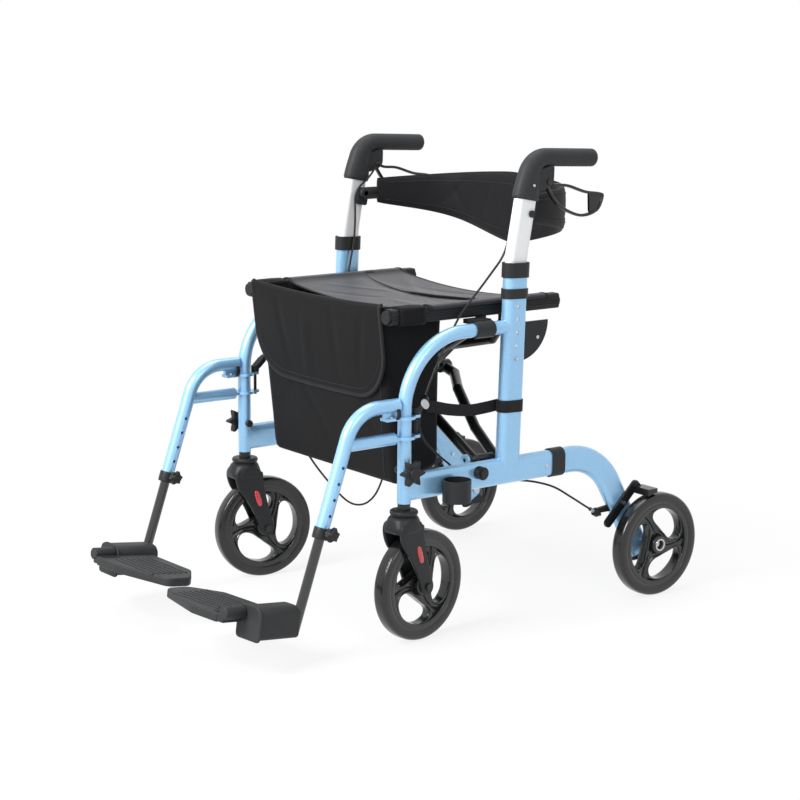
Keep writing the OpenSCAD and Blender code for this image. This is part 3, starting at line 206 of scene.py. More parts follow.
def woven_nylon(name, dark, pale, rough, thread_mm, sheen):
    """Coated nylon cloth: a plain weave of crossing threads, uneven tone and a soft sheen on the threads.

    The real thread spacing is about 0.4 mm; thread_mm is drawn coarser so that the weave shows.
    """
    made, tree, shader = new_material(name, Sheen_Weight=sheen, Sheen_Roughness=0.45, Specular_IOR_Level=0.15)
    flat = add(tree, "UVMap", uv_map="cloth").outputs["UV"]
    warp = add(tree, "TexWave", {"Vector": flat, "Scale": wave_scale(thread_mm)}, bands_direction="X")
    weft = add(tree, "TexWave", {"Vector": flat, "Scale": wave_scale(thread_mm)}, bands_direction="Y")
    weave = add(tree, "Math", {0: warp.outputs["Fac"], 1: weft.outputs["Fac"]}, operation="MULTIPLY")
    slub = add(tree, "Mapping", {"Vector": flat, "Scale": (1.0, 0.08, 1.0)})
    streak = add(tree, "TexNoise", {"Vector": slub.outputs["Vector"], "Scale": per_metre(5), "Detail": 3.0})
    blend = add(tree, "Math", {0: weave.outputs["Value"], 1: streak.outputs["Fac"]}, operation="MULTIPLY")
    tone = add(tree, "Mix", {"Factor": blend.outputs["Value"], "A": linear(dark), "B": linear(pale)},
               data_type="RGBA")
    gloss = add(tree, "MapRange", {"Value": streak.outputs["Fac"], "To Min": rough - 0.08,
                                   "To Max": rough + 0.08})
    bump = add(tree, "Bump", {"Height": weave.outputs["Value"], "Strength": 0.4, "Distance": 0.25 * MM})
    feed(tree, shader, tone, gloss, bump)
    return made


def red_reflector_acrylic():
    """Moulded red acrylic with small prisms behind a clear face."""
    made, tree, shader = new_material("red_reflector_acrylic", Roughness=0.12, Coat_Weight=0.8,
                                      Coat_Roughness=0.04)
    place = add(tree, "TexCoord").outputs["Object"]
    prisms = add(tree, "TexVoronoi", {"Vector": place, "Scale": per_metre(2.2)})
    tone = add(tree, "Mix", {"Factor": prisms.outputs["Distance"], "A": linear("#E2353A"),
                             "B": linear("#A8161C")}, data_type="RGBA")
    bump = add(tree, "Bump", {"Height": prisms.outputs["Distance"], "Strength": 0.3, "Distance": 0.4 * MM})
    feed(tree, shader, tone, bump=bump)
    return made


paint_blue = blue_metallic_paint()
paint_silver = silver_white_paint()
moulded_nylon = grained_finish("moulded_black_nylon", "#1B1C1E", "#262729", 0.42, 1.6, 0.1)
rail_polypropylene = grained_finish("extruded_black_polypropylene", "#141516", "#1D1E1F", 0.5, 1.6, 0.1)
wheel_nylon = grained_finish("glossy_moulded_nylon", "#161718", "#202122", 0.26, 1.8, 0.05, coat=0.45,
                             specular=0.4)
label_plastic = grained_finish("pale_grey_plastic", "#B9BBBE", "#C6C8CA", 0.4, 1.6, 0.04)
ribbed_polypropylene = grained_finish("ribbed_black_polypropylene", "#232425", "#303132", 0.55, 1.3, 0.15)
grip_rubber = grained_finish("moulded_grip_rubber", "#27282A", "#343537", 0.58, 1.2, 0.2)
black_enamel = grained_finish("black_enamelled_steel", "#151617", "#1F2021", 0.3, 2.4, 0.05, coat=0.3)
glossy_enamel = grained_finish("glossy_black_enamel", "#101112", "#18191A", 0.14, 2.4, 0.03, coat=0.8,
                               specular=0.5)
tyre_polyurethane = grained_finish("cast_black_polyurethane", "#111213", "#19191B", 0.24, 2.0, 0.05,
                                   coat=0.35, specular=0.4)
cable_vinyl = grained_finish("extruded_black_vinyl", "#161718", "#202122", 0.4, 1.5, 0.05)
plated_steel = bright_zinc_steel()
bag_nylon = woven_nylon("oxford_woven_nylon", "#0E0E0F", "#1B1B1D", 0.72, 1.5, 0.04)
seat_nylon = woven_nylon("coated_seat_nylon", "#26262C", "#44444D", 0.46, 1.4, 0.22)
strap_nylon = woven_nylon("padded_strap_nylon", "#161618", "#2A2A2D", 0.66, 1.4, 0.07)
webbing_nylon = woven_nylon("woven_webbing", "#18181A", "#2E2E31", 0.6, 2.2, 0.1)
binding_nylon = woven_nylon("folded_nylon_binding", "#17171A", "#2C2C2F", 0.62, 1.6, 0.1)
thread_nylon = grained_finish("sewing_thread", "#2E2E31", "#46464A", 0.6, 0.8, 0.05)
reflector_red = red_reflector_acrylic()

NODE_FINISH = {
    "side_frame": paint_blue, "rear_leg": paint_blue, "rest_hanger": paint_blue,
    "handle_post": paint_silver, "seat_rail": rail_polypropylene, "rest_tube": glossy_enamel,
    "frame_fittings": moulded_nylon, "back_bracket": moulded_nylon, "cane_cup": moulded_nylon,
    "cross_bar": black_enamel, "brake_arm": black_enamel, "caster_axle": black_enamel,
    "rear_axle": plated_steel, "height_button": plated_steel, "cross_bolt": plated_steel,
}


def finish_nodes():
    """Every carried-over node gets its finish; left and right nodes share one."""
    for name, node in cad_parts.items():
        kind = name.removeprefix("left_").removeprefix("right_")
        finish = NODE_FINISH.get(kind)
        if finish is None:
            continue
        if not node.material_slots:
            node.data.materials.append(finish)
        for slot in node.material_slots:
            slot.material = finish


# Shapes
X_AXIS = (1, 0, 0)
Y_AXIS = (0, 1, 0)
Z_AXIS = (0, 0, 1)
# The order for an outline in the side view that is drawn out along X
SIDEWAYS = (1, 2, 0)


def unit(vectors):
    """Each vector divided by its own length."""
    return vectors / np.linalg.norm(vectors, axis=-1, keepdims=True)


def run_lengths(points, axis):
    """Length run so far along one axis of a grid of points, starting at nought."""
    steps = np.linalg.norm(np.diff(points, axis=axis), axis=-1)
    start = np.zeros_like(np.take(steps, [0], axis=axis))
    return np.concatenate([start, np.cumsum(steps, axis=axis)], axis=axis)


def patch(grid, around=False, ring=False, caps=False):
    """Faces over a grid of points, rows by columns. around joins the last column to the first, ring the last
    row to the first, and caps close the first and last rows. The flat map holds the lengths run both ways."""
    wide = np.concatenate([grid, grid[:, :1]], axis=1) if around else grid
    tall = np.concatenate([wide, wide[:1]]) if ring else wide
    index = np.arange(grid.shape[0] * grid.shape[1]).reshape(grid.shape[:2])
    joined = np.concatenate([index, index[:, :1]], axis=1) if around else index
    joined = np.concatenate([joined, joined[:1]]) if ring else joined
    corners = [(slice(None, -1), slice(None, -1)), (slice(None, -1), slice(1, None)),
               (slice(1, None), slice(1, None)), (slice(1, None), slice(None, -1))]
    quads = np.stack([joined[c] for c in corners], axis=-1).reshape(-1, 4)
    flat = np.stack([run_lengths(tall, 1), run_lengths(tall, 0)], axis=-1)
    flat = np.stack([flat[c] for c in corners], axis=2).reshape(-1, 2)
    ends = [index[0, ::-1], index[-1]] if caps else []
    flat = np.concatenate([flat, np.zeros((len(ends) * grid.shape[1], 2))])
    return grid.reshape(-1, 3), quads, ends, flat


def as_piece(mesh, material):
    """An object of that mesh and finish, in the scene."""
    mesh.materials.append(material)
    piece = bpy.data.objects.new(mesh.name, mesh)
    bpy.context.scene.collection.objects.link(piece)
    return piece


def solid(name, patches, material, closed=True):
    """One piece from several patches, with their flat maps as its map "cloth"; closed ones have their faces
    turned outwards."""
    points = np.concatenate([p[0] for p in patches])
    starts = np.cumsum([0] + [len(p[0]) for p in patches[:-1]])
    faces = []
    for start, (_, quads, ends, _) in zip(starts, patches):
        faces += (quads + start).tolist() + [(end + start).tolist() for end in ends]
    mesh = bpy.data.meshes.new(name)
    mesh.from_pydata(points.tolist(), [], faces)
    layer = mesh.uv_layers.new(name="cloth")
    layer.data.foreach_set("uv", np.concatenate([p[3] for p in patches]).ravel())
    mesh.polygons.foreach_set("use_smooth", np.ones(len(faces), bool))
    if closed:
        shape = bmesh.new()
        shape.from_mesh(mesh)
        bmesh.ops.recalc_face_normals(shape, faces=shape.faces)
        shape.to_mesh(mesh)
        shape.free()
    return as_piece(mesh, material)


def surface(name, grid, material, around=False, caps=False):
    """A piece of one patch: a sheet or, where around is set, a closed tube or block."""
    return solid(name, [patch(grid, around=around, caps=caps)], material, closed=around)


def tube(name, profile, path, side, material):
    """A piece that is a closed profile carried along a path and capped at both ends."""
    return surface(name, carry(profile, path, side), material, around=True, caps=True)


def smooth_path(points, per=8, loop=False):
    """A Catmull-Rom curve: between two points, a cubic whose end slopes are half the step from the point
    before to the point after. A loop runs on from its last point to its first."""
    given = np.array(points, float)
    if loop:
        padded = np.vstack([given[-1], given, given[:2]])
    else:
        padded = np.vstack([2 * given[0] - given[1], given, 2 * given[-1] - given[-2]])
    t = (np.arange(per) / per)[None, :, None]
    a, b, c, d = (padded[i:len(padded) - 3 + i, None, :] for i in range(4))
    square = 2 * a - 5 * b + 4 * c - d
    cube = 3 * b - a - 3 * c + d
    curve = 0.5 * (2 * b + (c - a) * t + square * t ** 2 + cube * t ** 3)
    curve = curve.reshape(-1, given.shape[1])
    return curve if loop else np.vstack([curve, given[-1:]])


def carry(profile, path, side, loop=False):
    """A closed profile, or one for each point of the path, carried along the path: its first axis lies along
    side, squared to the path, and its second along the cross product of the path's direction and it."""
    if loop:
        ahead = unit(np.roll(path, -1, axis=0) - np.roll(path, 1, axis=0))
    else:
        ahead = unit(np.gradient(path, axis=0))
    side = np.broadcast_to(np.array(side, float), path.shape)
    first = unit(side - np.sum(side * ahead, axis=-1, keepdims=True) * ahead)
    second = np.cross(ahead, first)
    profile = profile if profile.ndim == 3 else profile[None]
    return path[:, None] + profile[..., :1] * first[:, None] + profile[..., 1:] * second[:, None]


def lathe(profile, at, axis, count=64):
    """A profile of places along an axis and radii, turned about that axis through the point at."""
    ahead = unit(np.array(axis, float))
    side = unit(np.cross(ahead, (0.1, 0.3, 1.0)))
    angle = (2 * np.pi * np.arange(count) / count)[:, None]
    ring = np.cos(angle) * side + np.sin(angle) * np.cross(ahead, side)
    profile = np.array(profile, float)
    return np.array(at, float) + profile[:, None, :1] * ahead + profile[:, None, 1:] * ring


def bar_profile(start, stop, radius, edge):
    """Lathe profile of a bar from start to stop, each end rounded by a quarter circle of radius edge."""
    turn = np.linspace(0, np.pi / 2, 5)
    inset = edge * (1 - np.sin(turn))
    lift = edge * (1 - np.cos(turn))
    along = np.concatenate([start + lift, (stop - lift)[::-1]])
    return np.stack([along, radius - np.concatenate([inset, inset[::-1]])], axis=-1)


def soft_corners(points, reach):
    """A closed outline with each corner replaced by a quadratic curve that starts and ends reach from it, or
    at 0.45 of a shorter side."""
    corner = np.array(points, float)
    arms = [np.roll(corner, shift, axis=0) - corner for shift in (1, -1)]
    sizes = [np.linalg.norm(arm, axis=-1, keepdims=True) for arm in arms]
    start, stop = (corner + arm * np.minimum(reach / size, 0.45) for arm, size in zip(arms, sizes))
    t = np.linspace(0, 1, 7)[None, :, None]
    curve = start[:, None] * (1 - t) ** 2 + corner[:, None] * 2 * t * (1 - t) + stop[:, None] * t ** 2
    return curve.reshape(-1, 2)


def slab(outline, low, high, edge, order=(0, 1, 2)):
    """A closed outline drawn out from low to high. Near both ends it draws in along its normals as a quarter
    circle of radius edge, and rings shrinking to its middle close the ends. order says which of x, y and z
    the outline's two axes and its length become."""
    ahead = np.roll(outline, -1, axis=0) - np.roll(outline, 1, axis=0)
    x, y = outline.T
    turn_way = np.sign(np.sum(x * np.roll(y, -1) - y * np.roll(x, -1)))
    outward = unit(np.stack([ahead[:, 1], -ahead[:, 0]], axis=-1)) * turn_way
    ends = bar_profile(low, high, 0.0, edge)
    rows = outline[None] + ends[:, None, 1:] * outward[None]
    middle = outline.mean(axis=0)
    shares = np.array([0.02, 0.5, 0.97])[:, None, None]
    first = middle + shares * (rows[:1] - middle)
    last = middle + shares[::-1] * (rows[-1:] - middle)
    rows = np.concatenate([first, rows, last])
    places = np.concatenate([[low] * 3, ends[:, 0], [high] * 3])[:, None, None]
    along = np.broadcast_to(places, (*rows.shape[:2], 1))
    grid = np.concatenate([rows, along], axis=-1)
    return grid[..., np.argsort(order)]


def placed(grid, side, at, yaw=0.0, tilt=0.0):
    """Local millimetres tipped about X, turned about Z, moved to at, mirrored on the right; in metres."""
    turn = Matrix.Rotation(yaw, 3, "Z") @ Matrix.Rotation(tilt, 3, "X")
    return (grid @ np.array(turn).T + np.array(at)) * np.array([SIDES[side], 1, 1]) * MM


def fitting(name, side, parts, material, body, slot, replaced=None, at=(0, 0, 0), yaw=0.0, tilt=0.0):
    """A hard piece of one side from parts in millimetres. A part is a grid that closes round its columns, and
    whether its rows join into a ring too or end in caps."""
    patches = [patch(placed(grid, side, at, yaw, tilt), around=True, ring=ring, caps=not ring)
               for grid, ring in parts]
    piece = solid(f"{side}_{name}", patches, material)
    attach(piece, f"{side}_{body}")
    if replaced:
        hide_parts(f"{side}_{replaced}")


def bar(start, stop, radius, edge, at=(0, 0, 0), axis=X_AXIS, count=24):
    """A part: a round bar along an axis, with rounded ends."""
    return lathe(bar_profile(start, stop, radius, edge), at, axis, count), False


def hoop(profile, count, at=(0, 0, 0), axis=X_AXIS):
    """A part: a closed profile turned about an axis."""
    return lathe(profile, at, axis, count), True


def block(outline, low, high, edge, order=(0, 1, 2)):
    """A part: an outline drawn out from low to high."""
    return slab(outline, low, high, edge, order), False


def oval_profile(width, thick, count=16, square=1.0):
    """Closed outline from cosine and sine, both raised to a power: square 1 is an ellipse, less is boxier."""
    angle = 2 * np.pi * np.arange(count) / count
    wave = np.stack([np.cos(angle), np.sin(angle)], axis=-1)
    return np.sign(wave) * np.abs(wave) ** square * np.array([width, thick]) / 2


def round_box(half, low, high, radius, count):
    """Evenly spaced points round a rectangle with round corners: x from -half to half, y from low to high."""
    corner = np.linspace(0, np.pi / 2, 8)
    arc = np.stack([np.cos(corner), np.sin(corner)], axis=-1) * radius
    centres = [(half - radius, high - radius), (radius - half, high - radius), (radius - half, low + radius),
               (half - radius, low + radius)]
    turns = [((1, 0), (0, 1)), ((0, -1), (1, 0)), ((-1, 0), (0, -1)), ((0, 1), (-1, 0))]
    loop = np.vstack([np.array(c) + arc @ np.array(t).T for c, t in zip(centres, turns)])
    closed = np.vstack([loop, loop[:1]])
    run = run_lengths(closed, 0)
    wanted = np.linspace(0, run[-1], count, endpoint=False)
    return np.stack([np.interp(wanted, run, closed[:, i]) for i in range(2)], axis=-1)


def pebble(name, at, sizes, material, turn, square):
    """A rounded block: a sphere's latitude and longitude with their sines and cosines raised to a power."""
    latitude = np.linspace(-np.pi / 2, np.pi / 2, 18)[:, None]
    longitude = 2 * np.pi * np.arange(28)[None] / 28
    ball = np.stack([np.cos(latitude) * np.cos(longitude), np.cos(latitude) * np.sin(longitude),
                     np.sin(latitude) * np.ones_like(longitude)], axis=-1)
    round_part = np.sign(ball) * np.abs(ball) ** square * np.array(sizes) / 2
    grid = round_part @ np.array(turn.to_3x3()).T + np.array(at)
    return surface(name, grid, material, around=True, caps=True)


def sleeve(name, ring_in, ring_out, places, material):
    """A closed band: the inner outline, then the outer one along all its places, then the inner one again.
    places turns an outline and a share of the band's length into points."""
    shares = np.linspace(0, 1, 6)
    rows = [places(ring_in, 0.0)] + [places(ring_out, s) for s in shares] + [places(ring_in, 1.0)]
    return surface(name, np.stack(rows), material, around=True)


def crease_list(rows):
    """Creases for folds in metres, from rows in millimetres with the direction in degrees."""
    return np.array(rows, float) * (MM, MM, 1, MM, MM, MM)


def folds(u, v, creases):
    """Sum of straight creases: each is a dip of that depth, falling off as a bell curve across its line and,
    more slowly, along it. Columns: middle u and v, direction in degrees, half length, half width, depth."""
    total = np.zeros(np.broadcast(u, v).shape)
    for at_u, at_v, turn, half_l, half_w, depth in creases:
        c = math.cos(math.radians(turn))
        s = math.sin(math.radians(turn))
        along = (u - at_u) * c + (v - at_v) * s
        across = (v - at_v) * c - (u - at_u) * s
        total = total + depth * np.exp(-(across / half_w) ** 2 - (along / half_l) ** 2)
    return total


# Stitches: pitch, length and width of a thread, and how far its middle stands off the cloth
STITCH_PITCH = 4 * MM
STITCH_L = 2.6 * MM
STITCH_W = 0.9 * MM
STITCH_STAND = 0.35 * MM


def stitches(name, path, outward):
    """A row of short threads on a path: at each pitch two six-sided rings, a little proud of the cloth."""
    run = run_lengths(path, 0)
    starts = np.arange(STITCH_PITCH, run[-1] - STITCH_PITCH, STITCH_PITCH)
    ends = np.stack([starts, starts + STITCH_L], axis=1)
    middle = np.stack([np.interp(ends, run, path[:, i]) for i in range(3)], axis=-1)
    lift = np.stack([np.interp(starts, run, outward[:, i]) for i in range(3)], axis=-1)
    ahead = unit(middle[:, 1] - middle[:, 0])
    lift = unit(lift)
    across = np.cross(ahead, lift)
    angle = 2 * np.pi * np.arange(6) / 6
    ring = (np.cos(angle)[None, None, :, None] * across[:, None, None] * STITCH_W
            + np.sin(angle)[None, None, :, None] * lift[:, None, None] * STITCH_W) / 2
    points = middle[:, :, None] + ring + lift[:, None, None] * STITCH_STAND
    base = np.arange(len(starts))[:, None] * 12
    k = np.arange(6)
    quads = np.stack([k, (k + 1) % 6, (k + 1) % 6 + 6, k + 6], axis=-1)
    faces = (base[:, :, None] + quads[None]).reshape(-1, 4).tolist()
    caps = np.stack([k[::-1], k + 6])
    faces += (base[:, :, None] + caps[None]).reshape(-1, 6).tolist()
    mesh = bpy.data.meshes.new(name)
    mesh.from_pydata(points.reshape(-1, 3).tolist(), [], faces)
    return as_piece(mesh, thread_nylon)


def thicken(piece, thickness):
    """Gives a sheet its thickness, half to each side."""
    wall = piece.modifiers.new("thickness", "SOLIDIFY")
    wall.thickness = thickness
    wall.offset = 0


# Seat cloth: two panels hung between the rails; the rear one laps over the front one along a slit
RAIL_LOW, RAIL_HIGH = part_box("left_seat_rail")
CLOTH_LOW, CLOTH_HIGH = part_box("seat_cloth")
CLOTH_T = 1.6 * MM
CLOTH_SAG = 14 * MM
SLIT_Y = 76 * MM
SLIT_MID_X = 54 * MM
SLIT_HALF = 90 * MM
SLIT_BOW = 0.7
SLIT_BOW_X = -20 * MM
# How far the front panel reaches under the rear one, how low it dips there, and the dip's shares of length
LAP = 24 * MM
LAP_DIP = 2.2 * MM
LAP_FROM = 0.72
LAP_STEP = 0.12
FRONT_DROP = 1.5 * MM
# Stand of the rear panel's front edge where the slit is shut, what opening adds, and its share of the length
LIP_SHUT = 0.6 * MM
LIP_OPEN = 3.4 * MM
LIP_SHARE = 0.1
HEM = (7 * MM, 3 * MM)
HEM_BOXY = 0.7
SEAT_CREASES = crease_list([
    (-120, 20, 35, 90, 9, -1.6), (-60, -30, 28, 80, 8, 1.5), (80, -20, -12, 90, 10, -1.8),
    (120, 30, -20, 70, 8, 1.4), (-100, 130, -30, 90, 10, -1.6), (30, 150, 12, 110, 11, 1.6),
    (140, 140, 40, 70, 8, -1.4), (0, 100, 5, 120, 9, -1.5),
])


def seat_across():
    """The seat's line from rail to rail: a parabola between the rails that rises over their tops and ends on
    their outer sides."""
    inner = CLOTH_HIGH.x
    stand = 1.2 * MM
    over = [(RAIL_HIGH.x + stand, RAIL_HIGH.z - 6 * MM), (RAIL_HIGH.x + 0.4 * MM, RAIL_HIGH.z - 1.5 * MM),
            (RAIL_HIGH.x - 5 * MM, RAIL_HIGH.z + stand), (RAIL_LOW.x + 8 * MM, RAIL_HIGH.z + stand),
            (RAIL_LOW.x - 2 * MM, CLOTH_HIGH.z + 1.5 * MM)]
    x = np.linspace(0.93, -0.93, 15) * inner
    hang = np.stack([x, CLOTH_HIGH.z - CLOTH_SAG * (1 - (x / inner) ** 2)], axis=-1)
    mirrored = [(-px, pz) for px, pz in reversed(over)]
    return smooth_path(np.vstack([over, hang, mirrored]), per=6)


def slit_line(x):
    """Place of the slit: a shallow curve that bows towards the front."""
    return SLIT_Y + SLIT_BOW * (x - SLIT_BOW_X) ** 2


def seat_panel(name, line, y_from, y_to, lift):
    """Rows run from y_from to y_to at each x; height is the line's, less the creases between the rails, plus
    lift(x, share), the share being nought at the panel's front edge and one at its rear edge."""
    share = np.linspace(0, 1, 60)[:, None]
    x = line[None, :, 0]
    y = y_from(x) + share * (y_to(x) - y_from(x))
    between = np.clip(1 - (x / CLOTH_LOW.x) ** 4, 0, 1)
    z = line[None, :, 1] - between * folds(x, y, SEAT_CREASES) + between * lift(x, share)
    grid = np.stack([np.broadcast_to(x, y.shape), y, z], axis=-1)
    piece = surface(name, grid, seat_nylon)
    thicken(piece, CLOTH_T)
    wide = float(run_lengths(grid, 1)[:, -1].mean())
    long = float(run_lengths(grid, 0)[-1].mean())
    return piece, grid, (wide, long)


def make_seat():
    """The front panel dips under the rear panel's lap; the rear panel's lip stands open along the slit."""
    line = seat_across()

    def opening(x):
        return np.exp(-((x - SLIT_MID_X) / SLIT_HALF) ** 4)

    front, front_grid, front_flat = seat_panel(
        "seat_front_panel", line, lambda x: CLOTH_LOW.y + 0 * x, lambda x: slit_line(x) + LAP,
        lambda x, s: -LAP_DIP * np.clip((s - LAP_FROM) / LAP_STEP, 0, 1) - FRONT_DROP * (1 - s) ** 6)
    rear, rear_grid, rear_flat = seat_panel(
        "seat_rear_panel", line, slit_line, lambda x: CLOTH_HIGH.y + 0 * x,
        lambda x, s: (LIP_SHUT + LIP_OPEN * opening(x)) * np.exp(-(s / LIP_SHARE) ** 2))
    open_part = np.abs(rear_grid[0, :, 0] - SLIT_MID_X) < SLIT_HALF
    hems = [("seat_front_hem", front_grid[0]), ("seat_rear_hem", rear_grid[-1]),
            ("seat_slit_hem", rear_grid[0][open_part])]
    made = [front, rear]
    for name, path in hems:
        made.append(tube(name, oval_profile(*HEM, 12, HEM_BOXY), path, Y_AXIS, binding_nylon))
    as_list(made[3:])
    for piece in made:
        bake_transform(piece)
    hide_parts("seat_cloth")


# Bag under the seat
BAG_LOW, BAG_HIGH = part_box("bag")
BAG_HALF = 200 * MM
BAG_LEAN = 37 * MM
BAG_TUCK = 28 * MM
BAG_STEP = 25 * MM
BAG_STEP_Y = CLOTH_LOW.y - 12 * MM
BAG_STEP_L = 10 * MM
BAG_FRONT_L = 30 * MM
BAG_REAR_LEAN = 4 * MM
BAG_CORNER = 16 * MM
BAG_FOOT_R = 16 * MM
BAG_SWELL = 5 * MM
BAG_WAIST = 0.016
BAG_RIM_DIP = 5 * MM
BAG_WALL_ROWS = 34
BAG_COLUMNS = 168
BAG_T = 2 * MM
RIM_BAND = (9 * MM, 4 * MM)
PIPING_D = 4.5 * MM
BAG_CREASES = crease_list([
    (-120, 400, 35, 60, 7, 2.2), (-150, 345, 5, 40, 5, 2.0), (-40, 390, 130, 70, 8, 2.0),
    (60, 360, 50, 70, 9, -2.0), (130, 420, 110, 80, 9, 2.2), (20, 320, 8, 120, 8, 1.6),
])


def bag_rows():
    """Rows of the bag from its rim to the middle of its floor: each is a round-cornered rectangle that moves
    rearward in front with depth, bulges in front, draws in at the sides, turns under and closes."""
    wall = np.linspace(0, 1, BAG_WALL_ROWS)
    turn = np.linspace(0, np.pi / 2, 7)[1:]
    shrink = np.linspace(0, 1, 6)[1:] ** 1.3
    depth = np.concatenate([wall, np.ones(len(turn) + len(shrink))])
    floor_half = (BAG_HIGH.y - BAG_LOW.y - BAG_LEAN) / 2 - BAG_FOOT_R - 3 * MM
    inset = np.concatenate([0 * wall, BAG_FOOT_R * (1 - np.cos(turn)), BAG_FOOT_R + floor_half * shrink])
    drop = np.concatenate([0 * wall, BAG_FOOT_R * np.sin(turn), BAG_FOOT_R * np.ones(len(shrink))])
    wall_foot = BAG_LOW.z + BAG_FOOT_R
    rows = []
    for down, inward, fall in zip(depth, inset, drop):
        ring = round_box(BAG_HALF - inward, BAG_LOW.y + BAG_LEAN * down + inward,
                         BAG_HIGH.y - inward - BAG_REAR_LEAN * down, max(BAG_CORNER - inward, 2 * MM),
                         BAG_COLUMNS)
        x, y = ring.T
        rear = np.clip((y - BAG_STEP_Y) / BAG_STEP_L, 0, 1)
        middle = 1 - (x / BAG_HALF) ** 2
        rim = BAG_HIGH.z - BAG_STEP * rear * rear * (3 - 2 * rear) - BAG_RIM_DIP * middle
        tuck = BAG_TUCK * np.clip((y - BAG_LOW.y - BAG_LEAN) / (BAG_HIGH.y - BAG_LOW.y - BAG_LEAN), 0, 1)
        z = rim + (wall_foot + tuck - rim) * down - fall
        swell = math.sin(math.pi * min(down, 1.0)) * (1 if fall == 0 else 0)
        in_front = np.clip((BAG_LOW.y + BAG_LEAN * down + BAG_FRONT_L - y) / BAG_FRONT_L, 0, 1)
        y = y - in_front * (BAG_SWELL * swell * middle - folds(x, z, BAG_CREASES) * swell)
        x = x * (1 - BAG_WAIST * swell)
        rows.append(np.stack([x, y, z], axis=-1))
    return np.stack(rows)


# Flap over the bag's front
FLAP_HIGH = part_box("bag_flap")[1]
FLAP_FRONT = 166 * MM
FLAP_CORNER = 84 * MM
FLAP_ROLL = 7 * MM
FLAP_ROLL_TURN = math.radians(75)
FLAP_T = 2.4 * MM
FLAP_SWELL = 5 * MM
FLAP_DIP = 6 * MM
FLAP_AHEAD = 6 * MM
FLAP_BINDING = (5 * MM, 8 * MM)
# The flap's row of stitches: distance from its lower edge, share of its width, and stand off the cloth
FLAP_SEAM_IN = 12 * MM
FLAP_SEAM_SHARE = 0.965
FLAP_SEAM_PROUD = 1.3 * MM
FLAP_LEAN = math.atan2(BAG_LEAN, BAG_HIGH.z - BAG_LOW.z)
FLAP_CREASES = crease_list([
    (-110, 60, 75, 60, 9, 1.8), (-30, 90, 95, 60, 12, -1.6), (60, 60, 85, 60, 10, 1.6),
    (140, 70, 100, 60, 9, 1.6), (20, 25, 5, 150, 9, 1.8),
])


def flap_length(x, half):
    """Length of the flap's front at each x: full in the middle, less a quarter circle at each corner."""
    past = np.clip(np.abs(x) - (half - FLAP_CORNER), 0, FLAP_CORNER)
    return FLAP_FRONT - FLAP_CORNER + np.sqrt(FLAP_CORNER ** 2 - past ** 2)


def flap_point(x, s, half):
    """A point of the flap at x and at length s down its front; behind the top edge, s is below nought and the
    flap rolls back round a small radius. The front leans and swells a little in the middle."""
    share = np.clip(s / FLAP_FRONT, 0, 1)
    swell = FLAP_SWELL * np.sin(np.pi * share ** 0.8) * (1 - (x / half) ** 4) - folds(x, s, FLAP_CREASES)
    swell = swell * np.clip(s / (12 * MM), 0, 1)
    angle = np.clip(-s, 0, None) / FLAP_ROLL
    top = FLAP_HIGH.z + 1 * MM - FLAP_DIP * (1 - (x / half) ** 2)
    down = np.clip(s, 0, None)
    front = BAG_LOW.y - FLAP_AHEAD
    y = front + down * math.sin(FLAP_LEAN) - swell * math.cos(FLAP_LEAN) + FLAP_ROLL * (1 - np.cos(angle))
    z = top - down * math.cos(FLAP_LEAN) - swell * math.sin(FLAP_LEAN) + FLAP_ROLL * np.sin(angle)
    return np.stack(np.broadcast_arrays(x, y, z), axis=-1)


def fold_away(piece, body):
    """A soft piece of the bag rides on its body, with a mesh of its own."""
    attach(piece, body)
    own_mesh(piece)


def make_bag():
    """The bag, its bound rim and piped front corners, then its flap and the loops on the rails."""
    rows = bag_rows()
    bag = surface("bag_shell", rows, bag_nylon, around=True)
    thicken(bag, BAG_T)
    rim = np.concatenate([rows[0], rows[0][:1]])
    band = carry(oval_profile(*RIM_BAND, 12, HEM_BOXY), rim, Z_AXIS)
    made = [bag, surface("bag_rim", band, binding_nylon, around=True)]
    walls = rows[:BAG_WALL_ROWS]
    piping = oval_profile(PIPING_D, PIPING_D, 10)
    for side, s in SIDES.items():
        off = np.abs(rows[0, :, 0] - s * BAG_HALF) + np.abs(rows[0, :, 1] - BAG_LOW.y)
        corner = walls[:, int(np.argmin(off))]
        made.append(tube(f"bag_piping_{side}", piping, corner, (1, 1, 0), binding_nylon))
    for piece in made:
        fold_away(piece, "bag")
    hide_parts("bag")
    make_flap()
    make_rail_loops()


def make_flap():
    """The flap's columns run down its front; its outline carries a folded binding and a row of stitches."""
    half = FLAP_HIGH.x
    x = half * np.sin(np.linspace(-np.pi / 2, np.pi / 2, 90))[None]
    share = np.linspace(0, 1, 50)[:, None]
    behind = -FLAP_ROLL * FLAP_ROLL_TURN
    s = behind + share * (flap_length(x, half) - behind)
    grid = flap_point(x, s, half)
    flap = surface("flap_panel", grid, bag_nylon)
    thicken(flap, FLAP_T)
    edge = np.concatenate([grid[:, 0], grid[-1, 1:-1], grid[::-1, -1]])
    binding = tube("flap_binding", oval_profile(*FLAP_BINDING, 12, HEM_BOXY), edge, (0, -1, 0), binding_nylon)
    inner_x = x[0, 4:-4] * FLAP_SEAM_SHARE
    inner_s = flap_length(x[0, 4:-4], half) - FLAP_SEAM_IN
    seam_path = flap_point(inner_x, inner_s, half) - np.array([0, FLAP_SEAM_PROUD, 0])
    seam = stitches("flap_stitches", seam_path, np.broadcast_to([0.0, -1.0, 0.0], seam_path.shape))
    for piece in (flap, binding, seam):
        fold_away(piece, "bag_flap")
    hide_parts("bag_flap")


